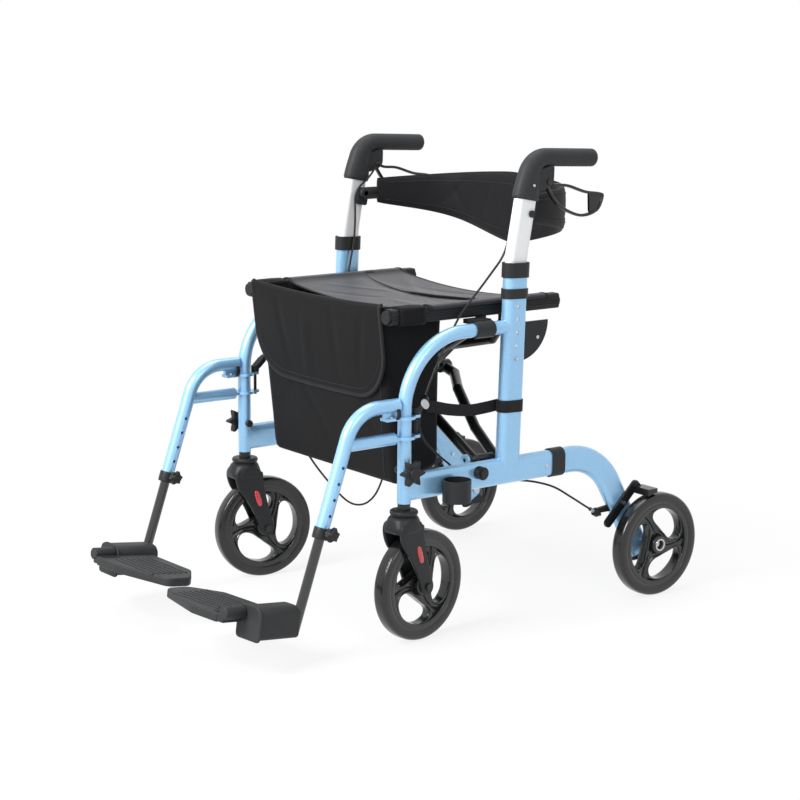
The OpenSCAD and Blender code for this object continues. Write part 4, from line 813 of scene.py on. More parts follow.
# Loops that hang the bag on the rails: distance behind its front, length, and stand of the band's two faces
LOOP_BEHIND = 18 * MM
LOOP_L = 56 * MM
LOOP_FACES = (0.5 * MM, 2.6 * MM)
LOOP_CORNER = 6 * MM


def make_rail_loops():
    """Cloth bands round the rails' section, rippled by a sine."""
    low = BAG_LOW.y + LOOP_BEHIND
    half_w = (RAIL_HIGH.x - RAIL_LOW.x) / 2
    half_h = (RAIL_HIGH.z - RAIL_LOW.z) / 2
    inner, outer = (round_box(half_w + gap, -half_h - gap, half_h + gap, LOOP_CORNER, 60)
                    for gap in LOOP_FACES)
    for side, s in SIDES.items():
        mid_x = s * (RAIL_LOW.x + RAIL_HIGH.x) / 2
        mid_z = (RAIL_LOW.z + RAIL_HIGH.z) / 2

        def places(outline, share):
            x, z = outline.T
            ripple = 0.5 * MM * np.sin(9 * x / half_w + 5 * share)
            return np.stack([mid_x + x, np.full(len(x), low + LOOP_L * share), mid_z + z + ripple], axis=-1)

        loop = sleeve(f"bag_loop_{side}", inner, outer, places, bag_nylon)
        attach(loop, "cross_b" if s > 0 else "cross_a")


# Back strap: a padded band on two arms
STRAP_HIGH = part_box("back_strap")[1]
STRAP_ARM_T = 7 * MM
STRAP_HALF = STRAP_HIGH.x - STRAP_ARM_T / 2
STRAP_PIVOT = (118.6 * MM, 755.3 * MM)
STRAP_END_Y = STRAP_PIVOT[0] + 30 * MM
STRAP_BOW = 155 * MM
STRAP_TALL = 135 * MM
STRAP_DROP = 24 * MM
STRAP_MID_ROUND = 0.06
STRAP_END_TALL = 44 * MM
STRAP_PAD = 14 * MM
STRAP_SEAM = 0.55
STRAP_PIPING = (4 * MM, 3.4 * MM)
STRAP_ARM_R = 12 * MM
STRAP_CREASES = [
    (-0.52, 0.1, 82, 0.5, 0.014, 3.2 * MM), (-0.47, 0.0, 96, 0.6, 0.014, 3.0 * MM),
    (-0.2, 0.1, 86, 0.6, 0.02, 2.0 * MM), (0.0, -0.1, 94, 0.6, 0.02, 1.8 * MM),
    (0.25, 0.0, 88, 0.7, 0.02, 2.2 * MM), (0.5, 0.1, 100, 0.5, 0.018, 2.6 * MM),
    (0.62, -0.3, 60, 0.4, 0.04, 1.8 * MM), (0.72, -0.35, 30, 0.3, 0.05, 1.8 * MM),
]


def widening(u):
    """Nought at the strap's ends and one in its middle, rising in nearly straight lines that meet in a small
    round: the distance sqrt(u * u + r * r) - r from the middle, as a share of the whole, to a power."""
    away = np.sqrt(u ** 2 + STRAP_MID_ROUND ** 2) - STRAP_MID_ROUND
    whole = math.sqrt(1 + STRAP_MID_ROUND ** 2) - STRAP_MID_ROUND
    return np.clip(1 - away / whole, 0, 1) ** 1.15


def strap_bow(x):
    """How far back the strap lies at x: nearly flat in the middle, curving to the arms at the ends."""
    return STRAP_END_Y + STRAP_BOW * (1 - (np.abs(x) / STRAP_HALF) ** 6)


def strap_point(u, angle, grow=0.0):
    """A point of the pad: u runs from end to end and angle round the section, an oval that is boxier along
    its height; the section grows taller and thicker towards the middle, and creases dent both faces."""
    x = STRAP_HALF * np.sign(u) * (1 - (1 - np.abs(u)) ** 1.6)
    slope = (strap_bow(x + 0.2 * MM) - strap_bow(x - 0.2 * MM)) / (0.4 * MM)
    ahead = unit(np.stack([-slope, np.ones_like(slope), np.zeros_like(slope)], axis=-1))
    wide = widening(u)
    tall = STRAP_END_TALL + (STRAP_TALL - STRAP_END_TALL) * wide
    thick = STRAP_ARM_T + 1 * MM + (STRAP_PAD - STRAP_ARM_T) * (1 - np.abs(u) ** 4)
    c = np.cos(angle)
    s = np.sin(angle)
    height = np.sign(s) * np.abs(s) ** 0.6
    dent = folds(u, height, STRAP_CREASES) * np.sign(c) * np.abs(c) ** 0.5
    reach = thick / 2 * np.sign(c) * np.abs(c) ** 0.8 - dent * (c < 0) - 0.5 * dent * (c > 0) + grow * c
    z = STRAP_PIVOT[1] + 5 * MM - STRAP_DROP * wide + (tall / 2 + grow) * height
    return np.stack([x + ahead[..., 0] * reach, strap_bow(x) + ahead[..., 1] * reach, z + 0 * reach], axis=-1)


def make_back_strap():
    """The pad, its top and bottom piping, rows of stitches on both faces, and the arms that carry it."""
    u = np.linspace(-1, 1, 150)[:, None]
    angle = (2 * np.pi * np.arange(56) / 56)[None]
    skin = strap_point(*np.broadcast_arrays(u, angle))
    pad = surface("back_pad", skin, strap_nylon, around=True, caps=True)
    made = [pad]
    flat_u = np.linspace(-0.995, 0.995, 150)
    piping = oval_profile(*STRAP_PIPING, 10)
    for name, way in (("top", 1), ("foot", -1)):
        path = strap_point(flat_u, np.full_like(flat_u, way * np.pi / 2))
        made.append(tube(f"strap_piping_{name}", piping, path, Z_AXIS, binding_nylon))
        for face, outward in (("front", -1.0), ("rear", 1.0)):
            seam = np.pi - STRAP_SEAM * way if outward < 0 else STRAP_SEAM * way
            row = strap_point(flat_u[4:-4], np.full(len(flat_u) - 8, seam), grow=0.6 * MM)
            bow = strap_bow(row[:, 0] + 1 * MM) - strap_bow(row[:, 0] - 1 * MM)
            lift = outward * np.stack([-bow / (2 * MM), np.ones(len(row)), np.zeros(len(row))], axis=-1)
            made.append(stitches(f"strap_stitches_{name}_{face}", row, lift))
    made += [strap_arm(side, s) for side, s in SIDES.items()]
    for piece in made:
        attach(piece, "backrest")
        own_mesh(piece)
    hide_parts("back_strap")


def strap_arm(side, s):
    """A flat arm with round ends: a stadium in the side view, drawn in a little at both faces."""
    angle = 2 * np.pi * np.arange(64) / 64
    reach = STRAP_END_Y - STRAP_PIVOT[0] - 4 * MM
    y = STRAP_PIVOT[0] + np.clip(np.cos(angle) * 1e3, 0, 1) * reach
    outline = np.stack([y, np.full(64, STRAP_PIVOT[1])], axis=-1)
    rim = np.stack([np.cos(angle), np.sin(angle)], axis=-1)
    rows = []
    for out, across in ((-1.5, -1), (0, -0.7), (0, 0.7), (-1.5, 1)):
        yz = outline + rim * (STRAP_ARM_R + out * MM)
        x = np.full(64, s * STRAP_HALF + across * STRAP_ARM_T / 2)
        rows.append(np.column_stack([x, yz]))
    return surface(f"strap_arm_{side}", np.stack(rows), moulded_nylon, around=True, caps=True)


# Webbing from the bag round the left rear post
WEB_TALL = 22 * MM
WEB_T = 2 * MM
WEB_ROUTE = [
    (0.2015, -0.062, 0.412), (0.2035, -0.045, 0.409), (0.212, -0.015, 0.402), (0.224, 0.020, 0.399),
    (0.236, 0.048, 0.403), (0.2435, 0.070, 0.407), (0.2445, 0.086, 0.407),
]
POST_LEAN = math.radians(2)
POST_HALF = (13 * MM, 25 * MM)
POST_LOOP = (0.260, 0.0838, 0.3959)


def make_webbing():
    """A flat band that sags from the bag to the post, and the loop round the post."""
    path = smooth_path(WEB_ROUTE, per=8)
    band = tube("strap_webbing", oval_profile(WEB_TALL, WEB_T, 16, 0.45), path, Z_AXIS, webbing_nylon)

    def places(outline, share):
        y, x = outline.T
        up = WEB_TALL * share
        return np.stack([POST_LOOP[0] + x, POST_LOOP[1] + y + up * math.sin(POST_LEAN),
                         POST_LOOP[2] + up - y * math.sin(POST_LEAN)], axis=-1)

    half_x, half_y = POST_HALF
    inner, outer = (round_box(half_y + gap, -half_x - gap, half_x + gap, half_x + gap - 0.1 * MM, 72)
                    for gap in (0.2 * MM, WEB_T + 0.2 * MM))
    loop = sleeve("strap_post_loop", inner, outer, places, webbing_nylon)
    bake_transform(band)
    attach(loop, "left_frame")
    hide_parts("bag_strap")


# Brake cables in millimetres, from the lever over the frame to the rear brake; the right one is mirrored
CABLE_D = 4 * MM
CABLE_ROUTE = {
    "left": [
        (248.5, 150, 806), (245, 149, 805), (242.2, 140, 795), (242.2, 126, 781), (242.2, 111, 770),
        (242.2, 101, 757), (242.2, 97, 742), (242.2, 92, 716), (242.2, 84, 692), (241, 73, 672),
        (239, 54, 650), (239, 30, 626), (240, -12, 586), (240, -34, 556), (240, -62, 510), (240, -92, 450),
        (239, -108, 396), (239, -98, 362), (239, -70, 334), (239, -38, 308), (239, -16, 288),
        (239, 20, 277), (240, 70, 268), (243, 120, 258), (250, 160, 250), (257, 200, 236), (260, 240, 212),
        (260, 272, 192), (260, 290, 181),
    ],
    "right": [
        (248.5, 150, 806), (245, 149, 805), (242.2, 140, 795), (242.2, 126, 781), (242.2, 111, 770),
        (242.2, 101, 757), (242.2, 98, 742), (242, 98, 716), (241.4, 97, 690), (241.2, 94, 660),
        (241, 87, 627), (240, 80, 597), (239, 73, 560), (239, 58, 515), (239, 26, 460), (239, -20, 405),
        (238, -54, 355), (230, -58, 296), (216, -26, 230), (204, 20, 168), (200, 56, 134), (200, 90, 126),
        (204, 120, 138), (214, 146, 164), (230, 172, 200), (246, 200, 222), (257, 236, 212),
        (260, 272, 192), (260, 290, 181),
    ],
}


def make_cables():
    """Each cable is a round section carried along a smooth curve through its route."""
    section = oval_profile(CABLE_D, CABLE_D, 14)
    for side, s in SIDES.items():
        mirrored = MM * np.array([s, 1, 1])
        path = smooth_path(np.array(CABLE_ROUTE[side], float) * mirrored, per=7)
        cable = tube(f"brake_cable_{side}", section, path, (1, 0.2, 0.1), cable_vinyl)
        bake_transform(cable)
        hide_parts(f"{side}_brake_cable")


# The casters' swivel axis, in millimetres, and turn; reflectors on their forks
CASTER_AT = (260, -157, 0)
CASTER_YAW = math.radians(8)
FORK_OUT = 25.5 * MM
REFLECTOR_AT = (17 * MM, 165 * MM)
REFLECTOR_SIZE = (4 * MM, 11 * MM, 34 * MM)
REFLECTOR_TILT = math.radians(17)


def make_reflectors():
    """An oval red reflector on each face of each fork: a flat rounded block, tilted along the fork's leg."""
    for side, s in SIDES.items():
        for face, out in (("outer", 1), ("inner", -1)):
            turn = Matrix.Rotation(s * CASTER_YAW, 4, "Z")
            local = Vector((s * out * FORK_OUT, REFLECTOR_AT[0], 0))
            at = turn @ local + Vector((s * CASTER_AT[0] * MM, CASTER_AT[1] * MM, REFLECTOR_AT[1]))
            tilt = turn @ Matrix.Rotation(REFLECTOR_TILT, 4, "X")
            oval = pebble(f"reflector_{side}_{face}", at, REFLECTOR_SIZE, reflector_red, tilt, 0.75)
            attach(oval, f"{side}_caster")


# Hard pieces with soft mouldings, in millimetres as the frame gives them
FRAME_X = 260
HANDLE_LEAN = math.radians(10.5)
HANDLE_FROM = np.array([95.4, 689.4])
# The grip's socket: from and to along the handle, thickness and depth, boxiness and the step at its mouth
SOCKET = (93, 137)
SOCKET_SECTION = (30.5, 54)
SOCKET_BOXY = 0.72
SOCKET_LIP = 1.5
GRIP_MID = np.array([157.7, 817.2])
GRIP_BEND_R = 38
GRIP_DROOP = math.radians(2.5)
GRIP_L = 120
GRIP_D = 33
GRIP_DOME = 9
# Faint rings on the grip: height, pitch, and the plain lengths before and after them
RING_H = 0.22
RING_PITCH = 7
RING_FREE = (12, 16)
GRIP_SCREW_AT = (275, 120.6, 806.6)
CHEEK_FROM = (-10.4, 4.9)
CHEEK_T = 5.5
LEVER_PIVOT = np.array([159.7, 811.2])
LEVER_LOOP = [
    (4, 0), (22, -7), (54, -10), (97, -23), (132, -28), (140, -34), (126, -58), (88, -66), (44, -51),
    (20, -32), (2, -6),
]
LEVER_WEDGE = [(106, -26), (134, -29), (139, -35), (125, -58), (108, -62)]
LEVER_BAR = (9, 5.6)
LEVER_BOSS_R = 9
PIN_HALF = 12.5
PIN_HEAD_T = 2.6
PIN_HEADS = (-12, 12)


def grip_path():
    """Middle line of the grip in the side view: up the handle, round the bend and back along the grip; with
    it, how far each point lies along the socket (0 to 1), the bend (1 to 2) and the grip (2 to 3)."""
    up = np.linspace(SOCKET[0], SOCKET[1], 12)[:, None]
    socket = HANDLE_FROM + up * np.array([math.sin(HANDLE_LEAN), math.cos(HANDLE_LEAN)])
    turn = np.linspace(np.pi - HANDLE_LEAN, np.pi / 2 - GRIP_DROOP, 22)[1:, None]
    bend = GRIP_MID + GRIP_BEND_R * np.concatenate([np.cos(turn), np.sin(turn)], axis=1)
    back = np.linspace(0, GRIP_L, 121)[1:, None]
    grip = bend[-1] + back * np.array([math.cos(GRIP_DROOP), -math.sin(GRIP_DROOP)])
    place = np.concatenate([np.linspace(0, 1, 12), np.linspace(1, 2, 22)[1:], np.linspace(2, 3, 121)[1:]])
    return np.concatenate([socket, bend, grip]), place


def make_grip(side):
    """The grip is an oval carried along its path: deep at the socket, narrowing round the bend to a round
    grip with faint rings and a domed end. Two cheeks under the bend hold the lever."""
    line, place = grip_path()
    path = np.column_stack([np.full(len(line), FRAME_X), line])
    narrow = np.clip(place / 2, 0, 1)
    narrow = narrow * narrow * (3 - 2 * narrow)
    along = np.clip(place - 2, 0, 1) * GRIP_L
    ringed = (along > RING_FREE[0]) * (along < GRIP_L - RING_FREE[1])
    rings = RING_H * np.sin(2 * np.pi * along / RING_PITCH) * ringed
    past = np.clip(along - GRIP_L + GRIP_DOME, 0, GRIP_DOME - 0.2)
    dome = np.sqrt(np.clip(1 - (past / GRIP_DOME) ** 2, 0, 1))
    lip = np.where(place < 0.05, -SOCKET_LIP, 0)
    thick, deep = ((size + (GRIP_D - size) * narrow + 2 * rings) * dome + 2 * lip for size in SOCKET_SECTION)
    angle = 2 * np.pi * np.arange(40) / 40
    power = (SOCKET_BOXY + (1 - SOCKET_BOXY) * narrow)[:, None]
    wave = [np.sign(w) * np.abs(w)[None] ** power for w in (np.cos(angle), np.sin(angle))]
    profile = np.stack([wave[0] * thick[:, None] / 2, wave[1] * deep[:, None] / 2], axis=-1)
    parts = [(carry(profile, path, X_AXIS), False)]
    cheek = soft_corners([GRIP_MID + (-34, -24), LEVER_PIVOT + (-2, -12), LEVER_PIVOT + (13, -2),
                          GRIP_MID + (16, 26), GRIP_MID + (-30, 14)], 9)
    parts += [block(cheek, FRAME_X + low, FRAME_X + low + CHEEK_T, 1.6, SIDEWAYS) for low in CHEEK_FROM]
    fitting("grip", side, parts, grip_rubber, "handle", "soft_black", replaced="hand_grip")
    screw = bar(-2, 1.6, 2.8, 0.8, GRIP_SCREW_AT)
    fitting("grip_screw", side, [screw], plated_steel, "handle", "steel")


def make_lever(side):
    """A round-edged bar carried round a closed loop, with a web in its tip, its boss and headed pin."""
    loop = smooth_path(np.array(LEVER_LOOP, float) + LEVER_PIVOT, per=8, loop=True)
    path = np.column_stack([np.full(len(loop), FRAME_X), loop])
    wedge = soft_corners(np.array(LEVER_WEDGE, float) + LEVER_PIVOT, 4)
    pivot = (FRAME_X, *LEVER_PIVOT)
    parts = [(carry(oval_profile(*LEVER_BAR, 16, 0.6), path, X_AXIS, loop=True), True),
             block(wedge, FRAME_X - 3, FRAME_X + 3, 1, SIDEWAYS),
             bar(-4.5, 4.5, LEVER_BOSS_R, 1, pivot, count=64),
             bar(-PIN_HALF, PIN_HALF, 3, 0.6, pivot)]
    parts += [bar(mid - PIN_HEAD_T / 2, mid + PIN_HEAD_T / 2, 5.2, 1, pivot) for mid in PIN_HEADS]
    fitting("lever", side, parts, black_enamel, "lever", "black_metal", replaced="brake_lever")


# Wheels
WHEEL_R = 101.5
RIM_R = 83.5
RIM_IN_R = 71.5
RIM_W = 26
HUB_R = 18
HUB_BORE_R = 6
HUB_HALF = 16.5
# The bearing ring in the rear hub: its section and radius
HUB_RING = (3, 3.4)
HUB_RING_R = 10.5
TYRE_W = 30
TYRE_LAP = 5
REAR_TURN = math.radians(53)
SPOKE_W = 17
# The web: skew for each millimetre of radius, the opening's least radius, the radii that a sector spans, and
# half of its section as share of the way from the opening to the sector's edge and height
WEB_SKEW = math.radians(0.35)
HOLE_LOW = HUB_R + 8
WEB_SPAN = (HUB_R - 2, RIM_IN_R + 5)
WEB_HALF = np.array([(1, 7.5), (0.5, 7.5), (0.38, 8.2), (0.3, 10.2), (0.2, 11), (0.08, 10.6), (0, 9), (0, 3)])
CASTER_HUB = np.array([0, 38, 101.5])
REAR_AT = (302, 423, 101.5)


def web_sector(turn):
    """A third of the web as a ring round its opening. The opening is a rounded curve in radius and angle, the
    sector's outline a square one, and points between them share both; the section rises to a lip at the
    opening. All angles are skewed with the radius, which swirls the spokes."""
    t = 2 * np.pi * np.arange(96) / 96
    c, s = np.cos(t), np.sin(t)
    square = np.maximum(np.abs(c), np.abs(s))
    hole_mid = (HOLE_LOW + RIM_IN_R) / 2
    hole_r = hole_mid + (RIM_IN_R - HOLE_LOW) / 2 * s
    hole_a = (np.pi / 3 - np.arcsin(SPOKE_W / 2 / hole_r)) * np.sign(c) * np.abs(c) ** 0.7
    edge_r = (WEB_SPAN[0] + WEB_SPAN[1]) / 2 + (WEB_SPAN[1] - WEB_SPAN[0]) / 2 * s / square
    edge_a = np.pi / 3 * c / square
    section = np.concatenate([WEB_HALF, WEB_HALF[::-1] * (1, -1)])
    share = section[:, :1]
    radius = hole_r + share * (edge_r - hole_r)
    angle = turn + hole_a + share * (edge_a - hole_a) + WEB_SKEW * (radius - hole_mid)
    x = np.broadcast_to(section[:, 1:], radius.shape)
    return np.stack([x, radius * np.cos(angle), radius * np.sin(angle)], axis=-1)


def wheel_parts(turn):
    """Three sectors of web, and the rim and hub as boxy ovals turned about the axle."""
    rim = oval_profile(RIM_W, RIM_R - RIM_IN_R + 0.4, 24, 0.3) + (0, (RIM_R + RIM_IN_R) / 2 - 0.2)
    hub = oval_profile(2 * HUB_HALF, HUB_R - HUB_BORE_R, 24, 0.45) + (0, (HUB_R + HUB_BORE_R) / 2)
    parts = [(web_sector(turn + 2 * np.pi * i / 3), True) for i in range(3)]
    return parts + [hoop(rim, 96), hoop(hub, 96)]


def tyre_parts():
    """A tyre with a flat tread and round shoulders: a boxy oval turned about the axle."""
    inner = RIM_R - TYRE_LAP
    profile = oval_profile(TYRE_W, WHEEL_R - inner, 40, 0.6) + (0, (WHEEL_R + inner) / 2)
    return [hoop(profile, 120)]


def make_wheels(side):
    """Front and rear wheels with their tyres, and the pale bearing ring in the rear hub."""
    kinds = [("wheel", wheel_parts(0.0), wheel_parts(REAR_TURN), wheel_nylon, "black_plastic"),
             ("tyre", tyre_parts(), tyre_parts(), tyre_polyurethane, "tyre")]
    for name, front, rear, finish, slot in kinds:
        caster = [(grid + CASTER_HUB, ring) for grid, ring in front]
        fitting(f"caster_{name}", side, caster, finish, "front_roller", slot, replaced=f"front_{name}",
                at=CASTER_AT, yaw=CASTER_YAW)
        fitting(f"back_{name}", side, rear, finish, "rear_roller", slot, replaced=f"rear_{name}", at=REAR_AT)
    ring = oval_profile(*HUB_RING, 12, 0.6) + (HUB_HALF, HUB_RING_R)
    fitting("hub_ring", side, [hoop(ring, 48)], plated_steel, "rear_roller", "steel", at=REAR_AT)


# Caster forks: the leg's place along Y, height and width from crown to axle
FORK_LEG = [
    (-1, 224, 44), (-1, 214, 58), (2, 196, 56), (10, 177, 47), (17, 160, 39), (27, 133, 32), (38, 101.5, 29),
]
FORK_TIP_R = 14.5
FORK_LEG_X = 21.5
FORK_LEG_T = 8
# Height, half width, middle and half length along Y, and boxiness of the crown's ovals
CROWN = [
    (206, 23, -1.5, 27, 0.5), (208, 26, -1.5, 30, 0.5), (215, 27, -2, 31, 0.55), (224, 27, -1.5, 29.5, 0.75),
    (232, 26, -1, 27, 0.95), (236, 23, 0, 23, 1), (237, 22, 0, 22, 1), (238, 22.6, 0, 22.6, 1),
    (239, 25, 0, 25, 1), (243, 25.4, 0, 25.4, 1), (245.4, 24, 0, 24, 1), (246, 22, 0, 22, 1),
]


def make_fork(side):
    """Each leg is a boxy oval carried from the crown to the axle, where it ends in a half round. The crown is
    a stack of ovals: a bell, a groove and a ring cap."""
    leg = smooth_path(FORK_LEG, per=8)
    ahead = unit(leg[-1, :2] - leg[-2, :2])
    past = FORK_TIP_R * np.sin(np.linspace(0, np.pi / 2, 9))[1:, None]
    tip_w = 2 * FORK_TIP_R * np.sqrt(1 - (past / (FORK_TIP_R + 0.1)) ** 2)
    leg = np.concatenate([leg, np.column_stack([leg[-1, :2] + past * ahead, tip_w])])
    outline = oval_profile(2, 2, 32, 0.38)
    profile = outline[None] * np.stack([leg[:, 2] / 2, np.full(len(leg), FORK_LEG_T / 2)], axis=-1)[:, None]
    parts = []
    for s in (-1, 1):
        path = np.column_stack([np.full(len(leg), s * FORK_LEG_X), leg[:, :2]])
        parts.append((carry(profile, path, (0, 1, 0.2)), False))
    z, half_x, mid_y, half_y, boxy = smooth_path(CROWN, per=3).T[:, :, None]
    angle = 2 * np.pi * np.arange(64)[None] / 64
    x, y = (np.sign(w) * np.abs(w) ** boxy for w in (np.cos(angle), np.sin(angle)))
    crown = np.stack(np.broadcast_arrays(half_x * x, mid_y + half_y * y, z), axis=-1)
    parts.append((crown, False))
    fitting("fork", side, parts, moulded_nylon, "caster", "black_plastic", replaced="caster_fork",
            at=CASTER_AT, yaw=CASTER_YAW)


# Knobs: their places, and the number, valley, tip and power of their lobes
STAR_AT = (277.5, -157, 316)
STAR_LOBES = (6, 13.5, 27, 0.9)
REST_KNOB_AT = (260, -334.5, 234)
REST_LOBES = (6, 10.5, 14.5, 1.0)
LOBE_ROUND = 0.04


def lobes(count, valley, tip, power):
    """A star outline: the radius falls from tip to valley and back count times; power sharpens the tips."""
    angle = 2 * np.pi * np.arange(144) / 144
    rise = 1 - np.sqrt(np.sin(count * angle / 2) ** 2 + LOBE_ROUND) / math.sqrt(1 + LOBE_ROUND)
    radius = valley + (tip - valley) * np.clip(rise, 0, 1) ** power
    return np.stack([radius * np.cos(angle), radius * np.sin(angle)], axis=-1)


def make_knobs(side):
    """The star knob on the front post, with its cap, screw and inner nut, and the lobed knob of the leg rest
    with a bright screw."""
    parts = [block(lobes(*STAR_LOBES), 0, 14, 1.6, SIDEWAYS), bar(10, 17.5, 11, 2, count=48),
             bar(-35, 2, 3.9, 0.5), bar(-38, -31, 7, 1, count=36)]
    fitting("post_knob", side, parts, moulded_nylon, "star", "black_plastic", replaced="star_knob",
            at=STAR_AT)
    # Both leg rest knobs face the sitter's left
    facing = 0.0 if side == "left" else math.pi
    parts = [block(lobes(*REST_LOBES), 26.5, 37, 2.2, SIDEWAYS), bar(35, 40, 9, 1.5, count=48)]
    fitting("rest_clamp_knob", side, parts, moulded_nylon, "clamp_knob", "black_plastic",
            replaced="rest_knob", at=REST_KNOB_AT, yaw=facing)
    fitting("rest_screw", side, [bar(9.4, 28, 3, 0.4)], plated_steel, "clamp_knob", "steel", at=REST_KNOB_AT,
            yaw=facing)


# Leg rests and footplates
HANGER_LEAN = math.radians(19)
HANGER_FOOT = (260, -338.6, 222)
HANGER_UP = (0, math.sin(HANGER_LEAN), math.cos(HANGER_LEAN))
TOP_BUSH_AT = (260, -179, 423)
# The ears of the hanger's rings, where the bolts stand
EAR_X = (255, 265)
EAR_Y = -190
EAR_Z = (379.5, 415.5)
PLATE_AT = (260, -394.4, 98)
PLATE_YAW = {"left": math.radians(6), "right": math.radians(-2)}
PLATE_TILT = math.radians(-8)
PLATE_MID_Y = -66
PLATE_TOP = -2
PLATE_T = 16
PLATE_OUTLINE = [
    (-48.5, -62), (-118.5, -62), (-234, -28), (-242, -18), (-242, 18), (-234, 28), (-182, 62), (-48.5, 62),
]
# Ribs on the plate: their ends along X, half width, number, pitch and height
RIB_X = (-205, -76)
RIB_HALF = 3
RIB_COUNT = 7
RIB_PITCH = 12
RIB_H = 1.6
NECK_X = -70
HINGE_X = -34
CLAMP_OUTLINE = [(-47.5, -42), (11, -42), (11, 6), (-2, 13.5), (-36, 13.5), (-47.5, 3)]
CLAMP_Y = (-82, 10)
CLAMP_LIP = 1.09
KNUCKLE = (-126.3, -82.3)
KNUCKLE_R = 11


def make_leg_rest(side):
    """Black bushes at the hanger's foot and at its top tube, and two bolts in each ring's ear."""
    bush = oval_profile(20, 2.2, 16, 0.5) + (9, 13.5)
    top_bush = oval_profile(8, 2.4, 16, 0.5) + (0, 13.6)
    parts = [hoop(bush, 48, HANGER_FOOT, HANGER_UP), hoop(top_bush, 48, TOP_BUSH_AT, Y_AXIS)]
    fitting("rest_bushes", side, parts, moulded_nylon, "leg_rest", "black_plastic")
    bolts = [bar(-1, 3, 3.6, 0.8, (x, EAR_Y, z), Z_AXIS) for z in EAR_Z for x in EAR_X]
    fitting("ring_bolts", side, bolts, plated_steel, "leg_rest", "steel")


def rectangle(x, y):
    """Corners of a rectangle between two places along each axis."""
    return [(x[0], y[0]), (x[1], y[0]), (x[1], y[1]), (x[0], y[1])]


def make_plate(side):
    """The footplate is a rounded slab with raised ribs, its knuckle a bar on a short neck. The clamp is a
    rounded block along the hinge with a thin lip at its front end."""
    place = {"at": PLATE_AT, "yaw": PLATE_YAW[side], "tilt": PLATE_TILT}
    outline = soft_corners(PLATE_OUTLINE, 7) + (0, PLATE_MID_Y)
    parts = [block(outline, PLATE_TOP - PLATE_T, PLATE_TOP, 3)]
    for y in (np.arange(RIB_COUNT) - RIB_COUNT // 2) * RIB_PITCH + PLATE_MID_Y:
        rib = soft_corners(rectangle(RIB_X, (y - RIB_HALF, y + RIB_HALF)), 3)
        parts.append(block(rib, PLATE_TOP - 2, PLATE_TOP + RIB_H, 1))
    neck = soft_corners(rectangle((NECK_X, HINGE_X), (KNUCKLE[0] + 1, KNUCKLE[1] - 1)), 3)
    hinge = (HINGE_X, 0, 0)
    parts += [block(neck, PLATE_TOP - PLATE_T + 1, PLATE_TOP, 3),
              bar(*KNUCKLE, KNUCKLE_R, 2, hinge, Y_AXIS, 48),
              bar(KNUCKLE[1] - 2, CLAMP_Y[1] + 2, 4, 0.5, hinge, Y_AXIS)]
    fitting("plate", side, parts, ribbed_polypropylene, "plate", "black_plastic", replaced="footplate",
            **place)
    housing = soft_corners(CLAMP_OUTLINE, 9)
    middle = housing.mean(axis=0)
    lip = middle + (housing - middle) * CLAMP_LIP
    parts = [block(housing, CLAMP_Y[0] + 2, CLAMP_Y[1], 4, (0, 2, 1)),
             block(lip, CLAMP_Y[0], CLAMP_Y[0] + 4, 1.4, (0, 2, 1))]
    fitting("plate_housing", side, parts, ribbed_polypropylene, "leg_slider", "black_plastic",
            replaced="plate_clamp", **place)


# Release paddles behind the front posts
RELEASE_AT = (260, -131.5, 415.8)
PADDLE_TILT = math.radians(42)
PADDLE_FROM = (0, 3, 3)
PADDLE_T = 10
PADDLE_OUTLINE = [(-9, 0), (9, 0), (9.5, 24), (5, 33), (-5, 33), (-9.5, 24)]
# The pale face on the left paddle's side: its oval, middle, and from and to along X
FACE_OVAL = (14, 20)
FACE_MID = (17, 4.5)
FACE_X = (8, 10.6)


def make_release(side):
    """A rounded paddle that rises to the rear from its boss on the pin; the left one has a pale bare face."""
    turn = np.array(Matrix.Rotation(PADDLE_TILT, 3, "X"))
    paddle = slab(soft_corners(PADDLE_OUTLINE, 6), 0, PADDLE_T, 2.6) @ turn.T + PADDLE_FROM
    parts = [(paddle, False), bar(0, 12, 8, 1.2, axis=Z_AXIS, count=40), bar(-45.3, 4, 2.9, 0.5, axis=Z_AXIS)]
    fitting("release_paddle", side, parts, moulded_nylon, "release", "black_plastic",
            replaced="release_lever", at=RELEASE_AT)
    if side == "left":
        oval = oval_profile(*FACE_OVAL, 40, 0.85) + FACE_MID
        face = slab(oval, *FACE_X, 0.8, SIDEWAYS) @ turn.T + PADDLE_FROM
        fitting("release_face", side, [(face, False)], label_plastic, "release", "black_plastic",
                at=RELEASE_AT)


# Bright screws on the frame: place of the head's foot, and radius
FRAME_SCREWS = [((272.5, 168.7, 283.7), 4.2), ((247.3, 159.6, 524.4), 3.6)]


def make_screws(side):
    """Domed screw heads on the beam, in front of the leg's collar, and on the quarter-round plate."""
    parts = [bar(-3, 1.8, radius, 1.2, at, count=28) for at, radius in FRAME_SCREWS]
    fitting("frame_screws", side, parts, plated_steel, "frame", "steel")


def make_hard_pieces():
    """All of these on both sides."""
    makers = (make_grip, make_lever, make_wheels, make_fork, make_knobs, make_leg_rest, make_plate,
              make_release, make_screws)
    for side in SIDES:
        for maker in makers:
            maker(side)


# Floor and light, in metres
FLOOR_HALF = 30.0
FLOOR_WHITE = 0.84
FLOOR_FADE = (0.5, 1.2)
WORLD_LIGHT = 0.34
# Soft boxes: name, place, the point that they face, size and power
LAMPS = [
    ("key", (0.2, -3.2, 2.6), (0, 0, 0.4), 1.6, 180),
    ("side", (2.6, -0.6, 2.0), (0.2, 0.1, 0.5), 1.0, 12),
    ("top", (-0.6, 0.4, 4.2), (0, 0, 0.3), 2.5, 60),
]


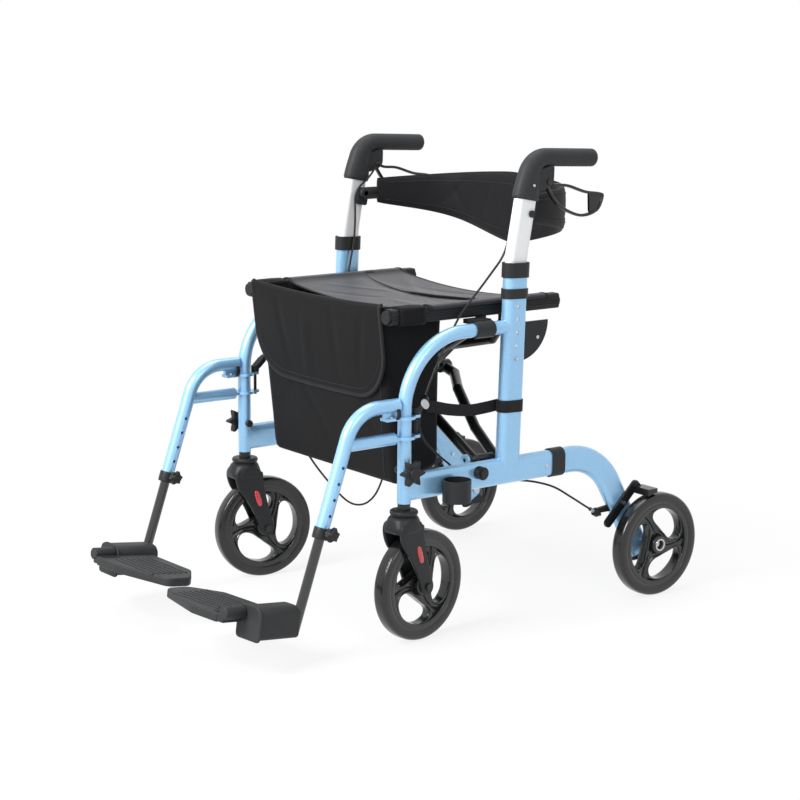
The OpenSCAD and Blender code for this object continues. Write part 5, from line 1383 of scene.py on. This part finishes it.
def seen_rays(tree):
    """One for the rays that see the white background: the eye's, reflected ones and those through glass."""
    rays = add(tree, "LightPath").outputs
    eye = add(tree, "Math", {0: rays["Is Camera Ray"], 1: rays["Is Glossy Ray"]}, operation="MAXIMUM")
    seen = add(tree, "Math", {0: eye.outputs["Value"], 1: rays["Is Transmission Ray"]}, operation="MAXIMUM")
    return seen.outputs["Value"]


def make_floor():
    """A plain pale floor under the chair."""
    edges = [-FLOOR_HALF, FLOOR_HALF]
    grid = np.stack(np.meshgrid(edges, edges, [0.0], indexing="ij"), axis=-1)[:, :, 0]
    made, tree, shader = new_material("pale_floor", Roughness=0.7)
    shader.inputs["Base Color"].default_value = linear("#F5F5F6")
    # To the eye and in reflections the floor is nearly white, with a faint shadow left under the chair
    place = add(tree, "TexCoord").outputs["Object"]
    away = add(tree, "VectorMath", {0: place}, operation="LENGTH").outputs["Value"]
    paler = add(tree, "MapRange", {"Value": away, "From Min": FLOOR_FADE[0], "From Max": FLOOR_FADE[1],
                                   "To Min": FLOOR_WHITE, "To Max": 1.0})
    share = add(tree, "Math", {0: seen_rays(tree), 1: paler.outputs["Result"]}, operation="MULTIPLY")
    white = add(tree, "Emission", {"Color": (1, 1, 1, 1), "Strength": 1.0})
    both = add(tree, "MixShader", {0: share.outputs["Value"], 1: shader.outputs["BSDF"],
                                   2: white.outputs["Emission"]})
    tree.links.new(both.outputs["Shader"], tree.nodes["Material Output"].inputs["Surface"])
    surface("floor", grid, made)


def soft_box(name, at, to, size, watts):
    """A square area lamp that faces the point to."""
    data = bpy.data.lights.new(name, "AREA")
    data.energy = watts
    data.size = size
    lamp = bpy.data.objects.new(name, data)
    lamp.location = at
    lamp.rotation_euler = (Vector(to) - Vector(at)).to_track_quat("-Z", "Y").to_euler()
    bpy.context.scene.collection.objects.link(lamp)


def make_light():
    """A bright studio: white to the eye and in reflections, dimmer as a light, and three soft boxes."""
    world = bpy.data.worlds.new("studio")
    world.use_nodes = True
    bpy.context.scene.world = world
    tree = world.node_tree
    level = add(tree, "MapRange", {"Value": seen_rays(tree), "To Min": WORLD_LIGHT, "To Max": 1.0})
    tree.links.new(level.outputs["Result"], tree.nodes["Background"].inputs["Strength"])
    tree.nodes["Background"].inputs["Color"].default_value = (1, 1, 1, 1)
    for lamp in LAMPS:
        soft_box(*lamp)


make_camera()
finish_nodes()
make_cables()
make_seat()
make_bag()
make_back_strap()
make_webbing()
make_reflectors()
make_hard_pieces()
make_floor()
make_light()
bpy.context.scene.view_settings.view_transform = "Standard"
